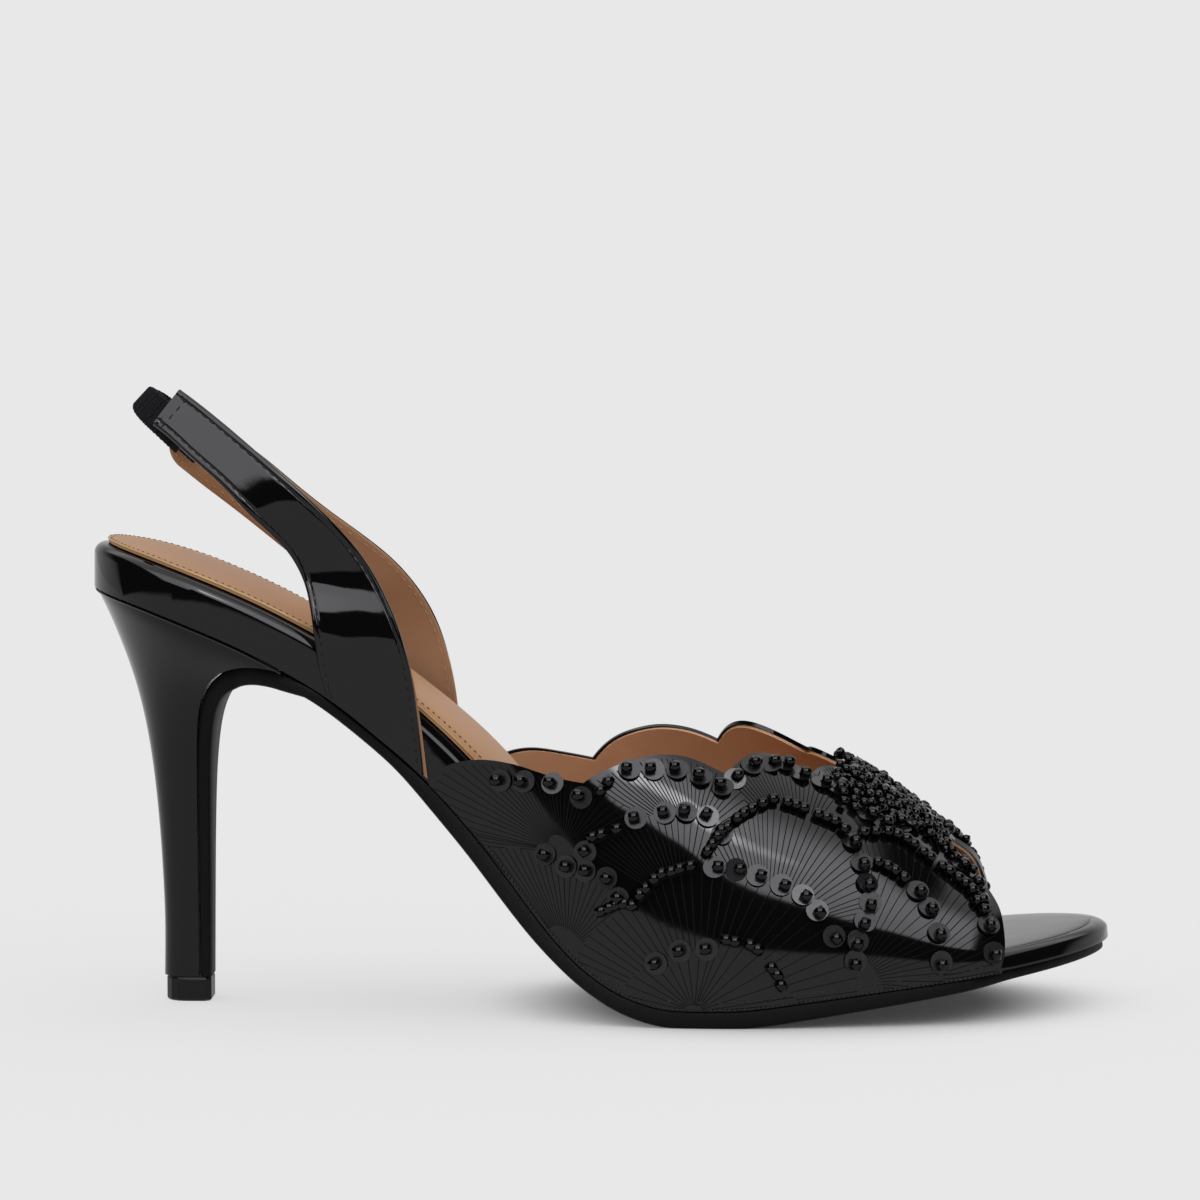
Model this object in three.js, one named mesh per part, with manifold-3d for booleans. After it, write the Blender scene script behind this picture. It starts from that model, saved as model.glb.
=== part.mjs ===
// High heeled peep-toe slingback sandal, right foot.
// Millimetres, +Z up, +X towards the toe, +Y towards the inner side of the foot.
// The origin is the middle of the heel tip's bottom face, on the floor.

import * as THREE from 'three';
import { mergeVertices } from 'three/addons/utils/BufferGeometryUtils.js';
import Module from 'manifold-3d';

// Driving sizes of the sole
const SOLE_LENGTH = 218.6;
const SEAT_OVERHANG = 20.1;
const HEEL_HEIGHT = 90;
const TOE_SPRING = 10.4;
const BALL_WIDTH = 76;
const OUTSOLE_THICKNESS = 3.4;
const OUTSOLE_TOE_INSET = 1.4;
const RAND_HEIGHT = 10;
const RAND_EDGE_RADIUS = 3.2;
const SEAT_ROUNDING = 25;
const TOE_ROUNDING = 34;
const FOOTBED_BOTTOM_BEVEL = 0.5;
const OUTSOLE_EDGE_BEVEL = 0.7;
const CLEARANCE = 0.3;

// Driving sizes of the heel
const TIP_LENGTH = 10;
const TIP_WIDTH = 9.8;
const TOP_PIECE_HEIGHT = 5.1;
const TOP_PIECE_BEVEL = 0.4;
const TOP_PIECE_CORNER = 1;
const FLAP_THICKNESS = 2.7;
const FLAP_SETBACK = 0.2;

// Driving sizes of the upper, sock and sling
const UPPER_WALL = 1.5;
const INSTEP_HEIGHT = 68;
const STRAP_THICKNESS = 1.6;
const STRAP_FOOT_LIFT = 0.8;
const SLING_RISE = 48;
const SLING_SPREAD = 25.8;
const SLING_BEND_RADIUS = 13;
const SLING_BEND_REACH = 8.8;
const SLING_TURN = 18;
const SLING_SLOPE = 47;
const ELASTIC_WIDTH = 8;
const ELASTIC_THICKNESS = 1.4;
const ELASTIC_TUCK = 7;
const ELASTIC_OUTER_DROP = 2.2;
const ELASTIC_INNER_LIFT = 0.5;
const SOCK_EDGE_THICKNESS = 0.9;
const SOCK_PAD_HEIGHT = 3.7;
const SOCK_INSET = 3;
const SOCK_END_X = 150;
const SOCK_DOME_POWER = 2.6;

// Places along the sole, as shares of SOLE_LENGTH
const SEAT_STATION = 0.1;
const FLAP_JOIN_START = 0.196;
const FLAP_JOIN_END = 0.222;
const HEEL_FRONT = 0.26;
const BREAST_CLEAR = 0.4;

// Fineness of the meshes
const END_TURNS = 7;
const FOOTBED_STEP = 5.4;
const SOCK_STEP = 6.4;
const TREAD_STEP = 5.2;
const FLAP_RINGS = 24;
const HEEL_ARC_POINTS = 9;
const SEAT_POINTS = 24;
const BREAST_POINTS = 40;
const TIP_ARC_POINTS = 9;
const VAMP_ROWS = 19;
const VAMP_FRONT_CROWDING = 1.2;
const STRAP_STATIONS = 26;
const ELASTIC_SIDE_STATIONS = 6;
const ELASTIC_BEND_STATIONS = 11;

const SEAT_X = -SEAT_OVERHANG;
const TOE_X = SEAT_X + SOLE_LENGTH;
const TREAD_TOP = OUTSOLE_THICKNESS + CLEARANCE;
const HEEL_BASE = TOP_PIECE_HEIGHT + CLEARANCE;

// Side line of the last's bottom, where footbed and outsole meet.
// along is a share of SOLE_LENGTH from the back, rise of the heel's rise, spring of TOE_SPRING.
const SOLE_LINE = table(['along', 'rise', 'spring'], [
  [0.000, 1.000, 0.00],
  [0.053, 0.964, 0.00],
  [0.133, 0.886, 0.00],
  [0.182, 0.825, 0.00],
  [0.230, 0.754, 0.00],
  [0.283, 0.652, 0.00],
  [0.338, 0.528, 0.00],
  [0.384, 0.401, 0.00],
  [0.421, 0.284, 0.00],
  [0.458, 0.166, 0.00],
  [0.495, 0.078, 0.00],
  [0.536, 0.022, 0.00],
  [0.577, 0.000, 0.00],
  [0.632, 0.000, 0.00],
  [0.692, 0.000, 0.14],
  [0.761, 0.000, 0.32],
  [0.844, 0.000, 0.55],
  [0.917, 0.000, 0.77],
  [1.000, 0.000, 1.00],
]);

// Plan of the footbed: half and middle are shares of BALL_WIDTH, the middle
// moves towards the inner side, height is a share of RAND_HEIGHT.
const FOOTBED_PLAN = table(['along', 'half', 'middle', 'height'], [
  [0.00, 0.342, 0.000, 1.00],
  [0.10, 0.344, 0.000, 0.98],
  [0.16, 0.334, -0.004, 0.96],
  [0.23, 0.311, -0.013, 0.95],
  [0.30, 0.298, -0.020, 0.94],
  [0.36, 0.312, -0.025, 0.93],
  [0.42, 0.362, -0.029, 0.82],
  [0.49, 0.434, -0.032, 0.64],
  [0.57, 0.488, -0.031, 0.50],
  [0.63, 0.500, -0.026, 0.46],
  [0.70, 0.491, -0.016, 0.44],
  [0.78, 0.464, -0.004, 0.43],
  [0.85, 0.440, 0.008, 0.42],
  [0.92, 0.420, 0.030, 0.39],
  [1.00, 0.404, 0.072, 0.38],
]);

// Outsole under the footbed: thickness is a share of OUTSOLE_THICKNESS, ledge
// the share of the upper's wall by which it stands out past the footbed.
const OUTSOLE_PLAN = table(['along', 'thickness', 'ledge'], [
  [0.18, 1.00, 0.0],
  [0.23, 0.62, 0.5],
  [0.30, 0.64, 1.1],
  [0.36, 1.00, 1.2],
  [0.42, 1.06, 1.2],
  [0.48, 0.88, 1.2],
  [0.56, 1.04, 1.2],
  [0.65, 1.06, 1.2],
  [0.78, 0.90, 1.2],
  [0.86, 0.72, 1.1],
  [0.90, 0.60, -0.5],
  [1.00, 0.56, -0.7],
]);

// Breast of the heel, where the outsole's flap runs down it: forward is a
// share of TIP_LENGTH, up of HEEL_HEIGHT, thickness of FLAP_THICKNESS.
const BREAST_LINE = table(['forward', 'up', 'thickness'], [
  [0.270, 0.060, 0.90],
  [0.265, 0.200, 0.95],
  [0.260, 0.400, 1.00],
  [0.270, 0.560, 1.05],
  [0.310, 0.665, 1.15],
  [0.400, 0.742, 1.35],
  [0.620, 0.791, 1.55],
  [1.020, 0.818, 1.60],
  [1.500, 0.823, 1.45],
]);

// Heel: back is the distance of its back behind the tip's middle and up the
// height there, as shares of SEAT_OVERHANG and HEEL_HEIGHT; half is a share of
// the footbed's half width at the seat, tilt in degrees, reach of SEAT_OVERHANG.
const HEEL_ROWS = table(['back', 'up', 'half', 'tilt', 'reach'], [
  [0.272, 0.060, 0.184, 0, 0.70],
  [0.265, 0.180, 0.187, 0, 0.70],
  [0.285, 0.300, 0.200, 0, 0.72],
  [0.315, 0.410, 0.225, 0, 0.75],
  [0.365, 0.530, 0.275, 0, 0.82],
  [0.430, 0.635, 0.365, 3, 0.98],
  [0.517, 0.728, 0.490, 7, 1.22],
  [0.622, 0.808, 0.635, 11, 1.50],
  [0.752, 0.886, 0.795, 16, 1.85],
  [0.862, 0.945, 0.905, 19, 2.05],
  [0.970, 0.997, 0.965, 21, 2.20],
  [1.005, 1.040, 0.975, 21, 2.20],
]);

// Sections of the last above the sole line: height is a share of INSTEP_HEIGHT,
// power the superellipse's exponent, ridge the share of BALL_WIDTH by which the
// top lies towards the inner side.
const LAST_SECTIONS = table(['along', 'height', 'power', 'ridge'], [
  [0.32, 0.600, 3.0, 0.05],
  [0.37, 0.715, 3.0, 0.05],
  [0.42, 0.860, 2.8, 0.05],
  [0.46, 0.950, 2.55, 0.05],
  [0.50, 1.000, 2.35, 0.05],
  [0.55, 1.000, 2.15, 0.05],
  [0.62, 0.900, 2.1, 0.05],
  [0.69, 0.760, 2.1, 0.04],
  [0.76, 0.622, 2.1, 0.02],
  [0.80, 0.515, 2.1, 0.01],
  [0.84, 0.397, 2.1, 0.00],
  [0.87, 0.330, 2.15, 0.00],
  [0.90, 0.290, 2.2, 0.00],
]);

// Scalloped topline from the outer to the inner side. Girth runs from 0 degrees
// at the outer sole edge over 90 on the ridge to 180 at the inner edge. Each row
// is a cusp; front is the girth where its line meets the peep toe's edge, swell
// and lift bulge the arc up to the next cusp, and steps is its number of columns.
const TOPLINE_CUSPS = table(['along', 'girth', 'front', 'swell', 'lift', 'steps'], [
  [0.337, 0, 0, 1.5, 0.000, 10],
  [0.487, 31, 30, 7.5, 0.000, 10],
  [0.625, 51, 50, 8.0, -0.004, 8],
  [0.706, 65, 66, 4.0, -0.004, 4],
  [0.748, 79, 79, 0.0, -0.012, 4],
  [0.746, 98, 98, -4.0, -0.008, 4],
  [0.702, 106, 112, -9.5, -0.006, 7],
  [0.612, 126, 130, -6.2, -0.008, 10],
  [0.486, 150, 150, -3.0, 0.000, 9],
  [0.366, 180, 180, 0, 0, 0],
]);

// Edge of the peep toe: along is a share of SOLE_LENGTH at each girth.
const PEEP_EDGE = table(['girth', 'along'], [
  [0, 0.887],
  [12, 0.892],
  [32, 0.889],
  [52, 0.877],
  [66, 0.866],
  [78, 0.851],
  [90, 0.837],
  [102, 0.851],
  [115, 0.866],
  [135, 0.877],
  [158, 0.886],
  [180, 0.883],
]);

// Sling straps: x is a share of SOLE_LENGTH, z the height above the sole line as
// a share of SLING_RISE, hug is 1 where the strap lies on the footbed's side.
const OUTER_STRAP = table(['frontX', 'frontZ', 'rearX', 'rearZ', 'hug'], [
  [0.332, 0.000, 0.238, 0.000, 1.0],
  [0.327, 0.197, 0.231, 0.091, 1.0],
  [0.321, 0.378, 0.226, 0.232, 0.8],
  [0.310, 0.533, 0.221, 0.353, 0.3],
  [0.296, 0.629, 0.215, 0.425, 0.0],
  [0.275, 0.717, 0.207, 0.480, 0.0],
  [0.247, 0.772, 0.194, 0.531, 0.0],
  [0.205, 0.826, 0.164, 0.583, 0.0],
  [0.167, 0.880, 0.131, 0.664, 0.0],
  [0.138, 0.923, 0.103, 0.714, 0.0],
  [0.113, 0.960, 0.081, 0.762, 0.0],
  [0.091, 0.989, 0.065, 0.790, 0.0],
]);
const INNER_STRAP = table(['frontX', 'frontZ', 'rearX', 'rearZ', 'hug'], [
  [0.354, 0.000, 0.243, 0.000, 1.0],
  [0.352, 0.204, 0.237, 0.067, 1.0],
  [0.348, 0.393, 0.232, 0.156, 0.8],
  [0.335, 0.570, 0.225, 0.239, 0.3],
  [0.313, 0.665, 0.216, 0.305, 0.0],
  [0.280, 0.706, 0.204, 0.359, 0.0],
  [0.237, 0.703, 0.187, 0.400, 0.0],
  [0.204, 0.725, 0.164, 0.433, 0.0],
  [0.164, 0.787, 0.127, 0.493, 0.0],
  [0.128, 0.840, 0.095, 0.550, 0.0],
  [0.089, 0.901, 0.060, 0.631, 0.0],
]);

// Half distance between the straps as a share of SLING_SPREAD: reach is a share of
// SLING_RISE, measured up and back along the sling from the back of the seat.
const SLING_PLAN = table(['reach', 'spread'], [
  [-1.45, 0.985],
  [-0.97, 1.005],
  [-0.73, 0.970],
  [-0.57, 0.930],
  [-0.35, 0.855],
  [-0.12, 0.745],
  [0.08, 0.615],
  [0.26, 0.478],
]);

// Padding of the sock above its edge, as a share of SOCK_PAD_HEIGHT.
const SOCK_PAD = table(['along', 'pad'], [
  [0.00, 0.10],
  [0.06, 0.12],
  [0.13, 0.12],
  [0.21, 0.16],
  [0.28, 0.42],
  [0.36, 0.78],
  [0.43, 0.82],
  [0.52, 0.60],
  [0.66, 0.42],
  [0.80, 0.30],
]);

const FLAP_BY_HEIGHT = rekeyed(BREAST_LINE, 'up');
const HEEL_BY_HEIGHT = rekeyed(HEEL_ROWS, 'up');

const wasm = await Module();
wasm.setup();

function table(names, rows) {
  return rows.map((row) => Object.fromEntries(names.map((name, i) => [name, row[i]])));
}

// The same rows with another column first, or with their own numbers as the key
function rekeyed(rows, key) {
  return rows.map((row) => ({ [key]: row[key], ...row }));
}

function numbered(rows) {
  return rows.map((row, i) => ({ at: i, ...row }));
}

// Monotone cubic through one column of a table, keyed by its first column
function column(rows, name, at) {
  const key = Object.keys(rows[0])[0];
  const last = rows.length - 1;
  if (at <= rows[0][key]) return rows[0][name];
  if (at >= rows[last][key]) return rows[last][name];
  let i = 0;
  while (rows[i + 1][key] < at) i += 1;
  const slope = (k) => (rows[k + 1][name] - rows[k][name]) / (rows[k + 1][key] - rows[k][key]);
  const tangent = (k) => {
    if (k === 0) return slope(0);
    if (k === last) return slope(last - 1);
    const before = slope(k - 1);
    const after = slope(k);
    return before * after <= 0 ? 0 : (2 * before * after) / (before + after);
  };
  const width = rows[i + 1][key] - rows[i][key];
  const t = (at - rows[i][key]) / width;
  const start = rows[i][name] * (1 + 2 * t) * (1 - t) ** 2 + tangent(i) * width * t * (1 - t) ** 2;
  const end = rows[i + 1][name] * t * t * (3 - 2 * t) - tangent(i + 1) * width * t * t * (1 - t);
  return start + end;
}

function mix(a, b, t) {
  return a + (b - a) * t;
}

function range(count) {
  return Array.from({ length: count }, (unused, i) => i);
}

function along(x) {
  return (x - SEAT_X) / SOLE_LENGTH;
}

function atShare(share) {
  return SEAT_X + share * SOLE_LENGTH;
}

function radians(degrees) {
  return (degrees * Math.PI) / 180;
}

// Plan width factor of a rounded end, at a distance inside it
function rounded(distance, rounding) {
  const t = Math.min(Math.max(distance / rounding, 0), 1);
  return Math.sqrt(1 - (1 - t) ** 2);
}

// Sole line
function soleZ(x) {
  const share = along(x);
  const rise = column(SOLE_LINE, 'rise', share) * (HEEL_HEIGHT - TREAD_TOP);
  return TREAD_TOP + rise + column(SOLE_LINE, 'spring', share) * TOE_SPRING;
}

function soleNormal(x) {
  const step = 0.5;
  const slope = (soleZ(x + step) - soleZ(x - step)) / (2 * step);
  const length = Math.hypot(1, slope);
  return { x: -slope / length, z: 1 / length };
}

// The footbed stands upright at the very back and square to its line further on
function footbedUp(x) {
  const normal = soleNormal(x);
  const upright = 1 - Math.min(Math.max((x - SEAT_X) / (2 * SEAT_ROUNDING), 0), 1);
  const up = new THREE.Vector2(normal.x * (1 - upright), mix(normal.z, 1, upright));
  return up.normalize();
}

function footbedSides(x, inset = 0) {
  const share = along(x);
  const half = column(FOOTBED_PLAN, 'half', share) * BALL_WIDTH;
  const back = rounded(x - SEAT_X - inset, SEAT_ROUNDING - inset);
  const front = rounded(TOE_X - inset - x, TOE_ROUNDING - inset);
  const width = Math.max(half - inset, 1) * back * front;
  const middle = column(FOOTBED_PLAN, 'middle', share) * BALL_WIDTH;
  return { outer: middle - width, inner: middle + width };
}

function footbedHeight(x) {
  return column(FOOTBED_PLAN, 'height', along(x)) * RAND_HEIGHT;
}

// Stations along X that crowd together where an end is rounded in plan
function stations(from, to, fromRounding, toRounding, step) {
  const places = [];
  range(END_TURNS).forEach((i) => {
    const inside = 1 - Math.cos(((i + 0.5) / END_TURNS) * Math.PI * 0.5);
    if (fromRounding > 0) places.push(from + fromRounding * inside);
    if (toRounding > 0) places.push(to - toRounding * inside);
  });
  const start = from + fromRounding;
  const end = to - toRounding;
  const count = Math.max(Math.round((end - start) / step), 1);
  range(count + 1).forEach((i) => places.push(mix(start, end, i / count)));
  return places.sort((a, b) => a - b);
}

// Closed mesh through equal rings of points, with a flat fan at each end
function loft(rings) {
  const size = rings[0].length;
  const positions = rings.flat().flatMap((p) => [p.x, p.y, p.z]);
  const index = [];
  rings.slice(1).forEach((unused, i) => {
    range(size).forEach((j) => {
      const k = (j + 1) % size;
      const a = i * size + j;
      const b = i * size + k;
      const c = a + size;
      const d = b + size;
      index.push(a, b, d, a, d, c);
    });
  });
  const end = (rings.length - 1) * size;
  range(size - 2).forEach((j) => {
    index.push(0, j + 2, j + 1);
    index.push(end, end + j + 1, end + j + 2);
  });
  return outward(positions, index);
}

function volumeOf(positions, index) {
  const a = new THREE.Vector3();
  const b = new THREE.Vector3();
  const c = new THREE.Vector3();
  let volume = 0;
  for (let i = 0; i < index.length; i += 3) {
    a.fromArray(positions, index[i] * 3);
    b.fromArray(positions, index[i + 1] * 3);
    c.fromArray(positions, index[i + 2] * 3);
    volume += a.dot(b.cross(c)) / 6;
  }
  return volume;
}

function outward(positions, index) {
  if (volumeOf(positions, index) < 0) {
    for (let i = 0; i < index.length; i += 3) {
      [index[i], index[i + 1]] = [index[i + 1], index[i]];
    }
  }
  const geometry = new THREE.BufferGeometry();
  geometry.setAttribute('position', new THREE.Float32BufferAttribute(positions, 3));
  geometry.setIndex(index);
  return geometry;
}

// Closed prism across the shoe, from a side outline of [x, z] points
function prism(outline, halfWidth) {
  const shape = new THREE.Shape(outline.map(([x, z]) => new THREE.Vector2(x, z)));
  const geometry = new THREE.ExtrudeGeometry(shape, { depth: 2 * halfWidth, bevelEnabled: false });
  geometry.rotateX(Math.PI / 2);
  geometry.translate(0, halfWidth, 0);
  return geometry;
}

function toSolid(geometry) {
  const plain = geometry.clone();
  plain.deleteAttribute('normal');
  plain.deleteAttribute('uv');
  const merged = mergeVertices(plain, 1e-4);
  return new wasm.Manifold(new wasm.Mesh({
    numProp: 3,
    vertProperties: new Float32Array(merged.attributes.position.array),
    triVerts: new Uint32Array(merged.index.array),
  }));
}

function toGeometry(solid) {
  const mesh = solid.getMesh();
  const geometry = new THREE.BufferGeometry();
  geometry.setAttribute('position', new THREE.Float32BufferAttribute(mesh.vertProperties, 3));
  geometry.setIndex(Array.from(mesh.triVerts));
  return geometry;
}

// Footbed: board and filler wrapped in patent, with a soft rounded top edge
function footbedRing(x) {
  const up = footbedUp(x);
  const sides = footbedSides(x);
  const height = footbedHeight(x);
  const width = sides.inner - sides.outer;
  const radius = Math.min(RAND_EDGE_RADIUS, width * 0.3, height * 0.8);
  const chamfer = Math.min(FOOTBED_BOTTOM_BEVEL, radius);
  const arc = [0, 30, 60, 90].map((angle) => [
    radius * (1 - Math.cos(radians(angle))),
    height - radius + radius * Math.sin(radians(angle)),
  ]);
  const profile = [[chamfer, 0], [0, chamfer], ...arc];
  const outer = profile.map(([inset, rise]) => [sides.outer + inset, rise]);
  const inner = profile.map(([inset, rise]) => [sides.inner - inset, rise]).reverse();
  return [...outer, ...inner].map(([y, rise]) => new THREE.Vector3(
    x + up.x * rise,
    y,
    soleZ(x) + up.y * rise,
  ));
}

function makeFootbed() {
  const places = stations(SEAT_X, TOE_X, SEAT_ROUNDING, TOE_ROUNDING, FOOTBED_STEP);
  return loft(places.map(footbedRing));
}

// Sock: padded insole on the footbed, thin at its rim
function sockRing(x) {
  const up = footbedUp(x);
  const sides = footbedSides(x, SOCK_INSET);
  const base = footbedHeight(x) + CLEARANCE;
  const back = rounded(x - SEAT_X - SOCK_INSET, SEAT_ROUNDING);
  const pad = column(SOCK_PAD, 'pad', along(x)) * SOCK_PAD_HEIGHT * back;
  const shares = [0, 0.06, 0.16, 0.3, 0.5, 0.7, 0.84, 0.94, 1];
  const top = shares.map((share) => {
    const dome = Math.sqrt(Math.max(1 - Math.abs(2 * share - 1) ** SOCK_DOME_POWER, 0));
    return [share, SOCK_EDGE_THICKNESS + pad * dome];
  });
  return [[0, 0], ...top, [1, 0]].map(([share, rise]) => new THREE.Vector3(
    x + up.x * (base + rise),
    mix(sides.outer, sides.inner, share),
    soleZ(x) + up.y * (base + rise),
  ));
}

function makeSock() {
  const start = SEAT_X + SOCK_INSET;
  const places = stations(start, SOCK_END_X, SEAT_ROUNDING - SOCK_INSET, 0, SOCK_STEP);
  return loft(places.map(sockRing));
}

// Outsole: tread, waist and the flap that covers the heel's breast
function flapPath() {
  const rows = BREAST_LINE.map((row) => new THREE.Vector3(row.forward * TIP_LENGTH, 0, row.up * HEEL_HEIGHT));
  rows[0].z = HEEL_BASE;
  const join = [FLAP_JOIN_START, FLAP_JOIN_END].map(atShare).map((x) => {
    const normal = soleNormal(x);
    return new THREE.Vector3(x - normal.x * CLEARANCE, 0, soleZ(x) - normal.z * CLEARANCE);
  });
  return new THREE.CatmullRomCurve3([...rows, ...join], false, 'centripetal');
}

function outsoleRing(point, up, thickness, sides) {
  const bevel = Math.min(OUTSOLE_EDGE_BEVEL, thickness * 0.3, (sides.inner - sides.outer) * 0.2);
  const profile = [
    [sides.outer + bevel * 0.3, 0],
    [sides.outer, bevel * 0.6],
    [sides.outer, thickness - bevel],
    [sides.outer + bevel * 1.4, thickness],
    [mix(sides.outer, sides.inner, 0.5), thickness],
    [sides.inner - bevel * 1.4, thickness],
    [sides.inner, thickness - bevel],
    [sides.inner, bevel * 0.6],
    [sides.inner - bevel * 0.3, 0],
    [mix(sides.outer, sides.inner, 0.5), 0],
  ];
  return profile.map(([y, depth]) => new THREE.Vector3(
    point.x - up.x * depth,
    y,
    point.z - up.z * depth,
  ));
}

// The flap stops where the path bends into the first ring of the tread
function flapRings() {
  const path = flapPath();
  const joinX = atShare(FLAP_JOIN_START);
  const pathEnd = 0.93;
  return range(FLAP_RINGS).map((i) => {
    const t = (i / (FLAP_RINGS - 1)) * pathEnd;
    const point = path.getPointAt(t);
    const tangent = path.getTangentAt(t);
    const up = { x: -tangent.z, z: tangent.x };
    const flap = column(FLAP_BY_HEIGHT, 'thickness', point.z / HEEL_HEIGHT) * FLAP_THICKNESS;
    const forward = Math.min(Math.max((point.x - TIP_LENGTH) / (joinX - TIP_LENGTH), 0), 1);
    const waist = OUTSOLE_PLAN[0].thickness * OUTSOLE_THICKNESS;
    const heelHalf = column(HEEL_BY_HEIGHT, 'half', point.z / HEEL_HEIGHT) * seatHalf();
    const half = mix(heelHalf - FLAP_SETBACK, footbedSides(point.x).inner, forward);
    return outsoleRing(point, up, mix(flap, waist, forward), { outer: -half, inner: half });
  });
}

function seatHalf() {
  return column(FOOTBED_PLAN, 'half', SEAT_STATION) * BALL_WIDTH;
}

function treadRing(x) {
  const normal = soleNormal(x);
  const share = along(x);
  const ledge = column(OUTSOLE_PLAN, 'ledge', share) * UPPER_WALL;
  const bed = footbedSides(x);
  const bedRound = Math.max(rounded(TOE_X - x, TOE_ROUNDING), 0.01);
  const taper = rounded(TOE_X - OUTSOLE_TOE_INSET - x, TOE_ROUNDING) / bedRound;
  const middle = mix(bed.outer, bed.inner, 0.5);
  const half = (mix(-bed.outer, bed.inner, 0.5) + ledge) * taper;
  const thickness = column(OUTSOLE_PLAN, 'thickness', share) * OUTSOLE_THICKNESS;
  const point = { x: x - normal.x * CLEARANCE, z: soleZ(x) - normal.z * CLEARANCE };
  return outsoleRing(point, normal, thickness, { outer: middle - half, inner: middle + half });
}

function makeOutsole() {
  const tip = TOE_X - OUTSOLE_TOE_INSET;
  const places = stations(atShare(FLAP_JOIN_END), tip, 0, TOE_ROUNDING, TREAD_STEP);
  const sweep = toSolid(loft([...flapRings(), ...places.map(treadRing)]));
  const under = -HEEL_HEIGHT;
  const floor = toSolid(prism([[SEAT_X, under], [TOE_X, under], [TOE_X, 0], [SEAT_X, 0]], BALL_WIDTH));
  return toGeometry(sweep.subtract(floor));
}

// Heel: slim block under the seat, cut by the footbed above and the flap in front
function heelRing(row) {
  const back = -row.back * SEAT_OVERHANG;
  const up = row.up * HEEL_HEIGHT;
  const half = row.half * seatHalf();
  const reach = row.reach * SEAT_OVERHANG;
  const tilt = radians(row.tilt);
  const round = Math.min(half * 1.02, reach * 0.6);
  const arc = range(HEEL_ARC_POINTS).map((i) => {
    const angle = ((i + 0.4) / (HEEL_ARC_POINTS - 0.6)) * Math.PI * 0.5;
    return [round * (1 - Math.cos(angle)), half * Math.sin(angle)];
  });
  const side = [...arc, [mix(round, reach, 0.5), half], [reach, half]];
  const outer = side.map(([p, y]) => [p, -y]).reverse();
  return [...outer, ...side].map(([p, y]) => new THREE.Vector3(
    back + p * Math.cos(tilt),
    y,
    up - p * Math.sin(tilt),
  ));
}

function makeHeel() {
  const rows = numbered(HEEL_ROWS);
  rows[0].up = HEEL_BASE / HEEL_HEIGHT;
  const rings = range(2 * rows.length - 1).map((i) => {
    const value = (name) => column(rows, name, i / 2);
    return heelRing({
      back: value('back'),
      up: value('up'),
      half: value('half'),
      tilt: value('tilt'),
      reach: value('reach'),
    });
  });
  return toGeometry(toSolid(loft(rings)).subtract(seatCut()).subtract(breastCut()));
}

// All that lies above the sole line, with the clearance under it
function seatCut() {
  const back = 1.4 * SEAT_X;
  const front = atShare(HEEL_FRONT);
  const line = range(SEAT_POINTS).map((i) => {
    const x = mix(back, front, i / (SEAT_POINTS - 1));
    const normal = soleNormal(x);
    return [x - normal.x * CLEARANCE, soleZ(x) - normal.z * CLEARANCE];
  });
  const top = HEEL_HEIGHT * 1.3;
  return toSolid(prism([...line, [front, top], [back, top]], BALL_WIDTH));
}

// All that lies in front of the breast, with the clearance behind the flap
function breastCut() {
  const path = flapPath();
  const line = range(BREAST_POINTS).map((i) => {
    const t = i / (BREAST_POINTS - 1);
    const point = path.getPointAt(t);
    const tangent = path.getTangentAt(t);
    return [point.x - tangent.z * CLEARANCE, point.z + tangent.x * CLEARANCE];
  });
  const front = atShare(BREAST_CLEAR);
  const under = -TOP_PIECE_HEIGHT;
  const end = line[line.length - 1];
  return toSolid(prism([[line[0][0], under], ...line, [front, end[1]], [front, under]], BALL_WIDTH));
}

// Top piece: hard tip under heel and flap
function makeTopPiece() {
  const half = TIP_LENGTH / 2;
  const side = TIP_WIDTH / 2;
  const outline = (grow) => {
    const back = range(TIP_ARC_POINTS).map((i) => {
      const angle = Math.PI * (0.5 + i / (TIP_ARC_POINTS - 1));
      return [Math.cos(angle) * (half + grow) * 0.9 - half * 0.1, Math.sin(angle) * (side + grow)];
    });
    const front = [
      [half + grow - TOP_PIECE_CORNER, -side - grow],
      [half + grow, -side - grow + TOP_PIECE_CORNER],
    ];
    const mirrored = front.map(([x, y]) => [x, -y]).reverse();
    return [...back, ...front, ...mirrored];
  };
  const ring = (z, grow) => outline(grow).map(([x, y]) => new THREE.Vector3(x, y, z));
  return loft([
    ring(0, -TOP_PIECE_BEVEL),
    ring(TOP_PIECE_BEVEL, 0),
    ring(TOP_PIECE_HEIGHT - TOP_PIECE_BEVEL, 0),
    ring(TOP_PIECE_HEIGHT, -TOP_PIECE_BEVEL / 2),
  ]);
}

// Vamp: the outer face of the last's sections, at a girth in degrees
function vampFace(x, girth) {
  const share = along(x);
  const angle = radians(Math.min(Math.max(girth, 0), 180));
  const power = 2 / column(LAST_SECTIONS, 'power', share);
  const sides = footbedSides(x);
  const ridge = column(LAST_SECTIONS, 'ridge', share) * BALL_WIDTH;
  const reach = CLEARANCE + UPPER_WALL;
  const side = girth < 90 ? sides.outer - reach : sides.inner + reach;
  const across = Math.abs(Math.cos(angle)) ** power;
  const rise = Math.abs(Math.sin(angle)) ** power;
  return new THREE.Vector3(
    x,
    mix(ridge, side, across),
    soleZ(x) + column(LAST_SECTIONS, 'height', share) * INSTEP_HEIGHT * rise,
  );
}

function vampNormal(x, girth) {
  const low = Math.max(girth - 0.5, 0);
  const high = Math.min(girth + 0.5, 180);
  const around = vampFace(x, high).sub(vampFace(x, low));
  const forward = vampFace(x + 0.3, girth).sub(vampFace(x - 0.3, girth));
  return forward.cross(around).normalize();
}

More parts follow.
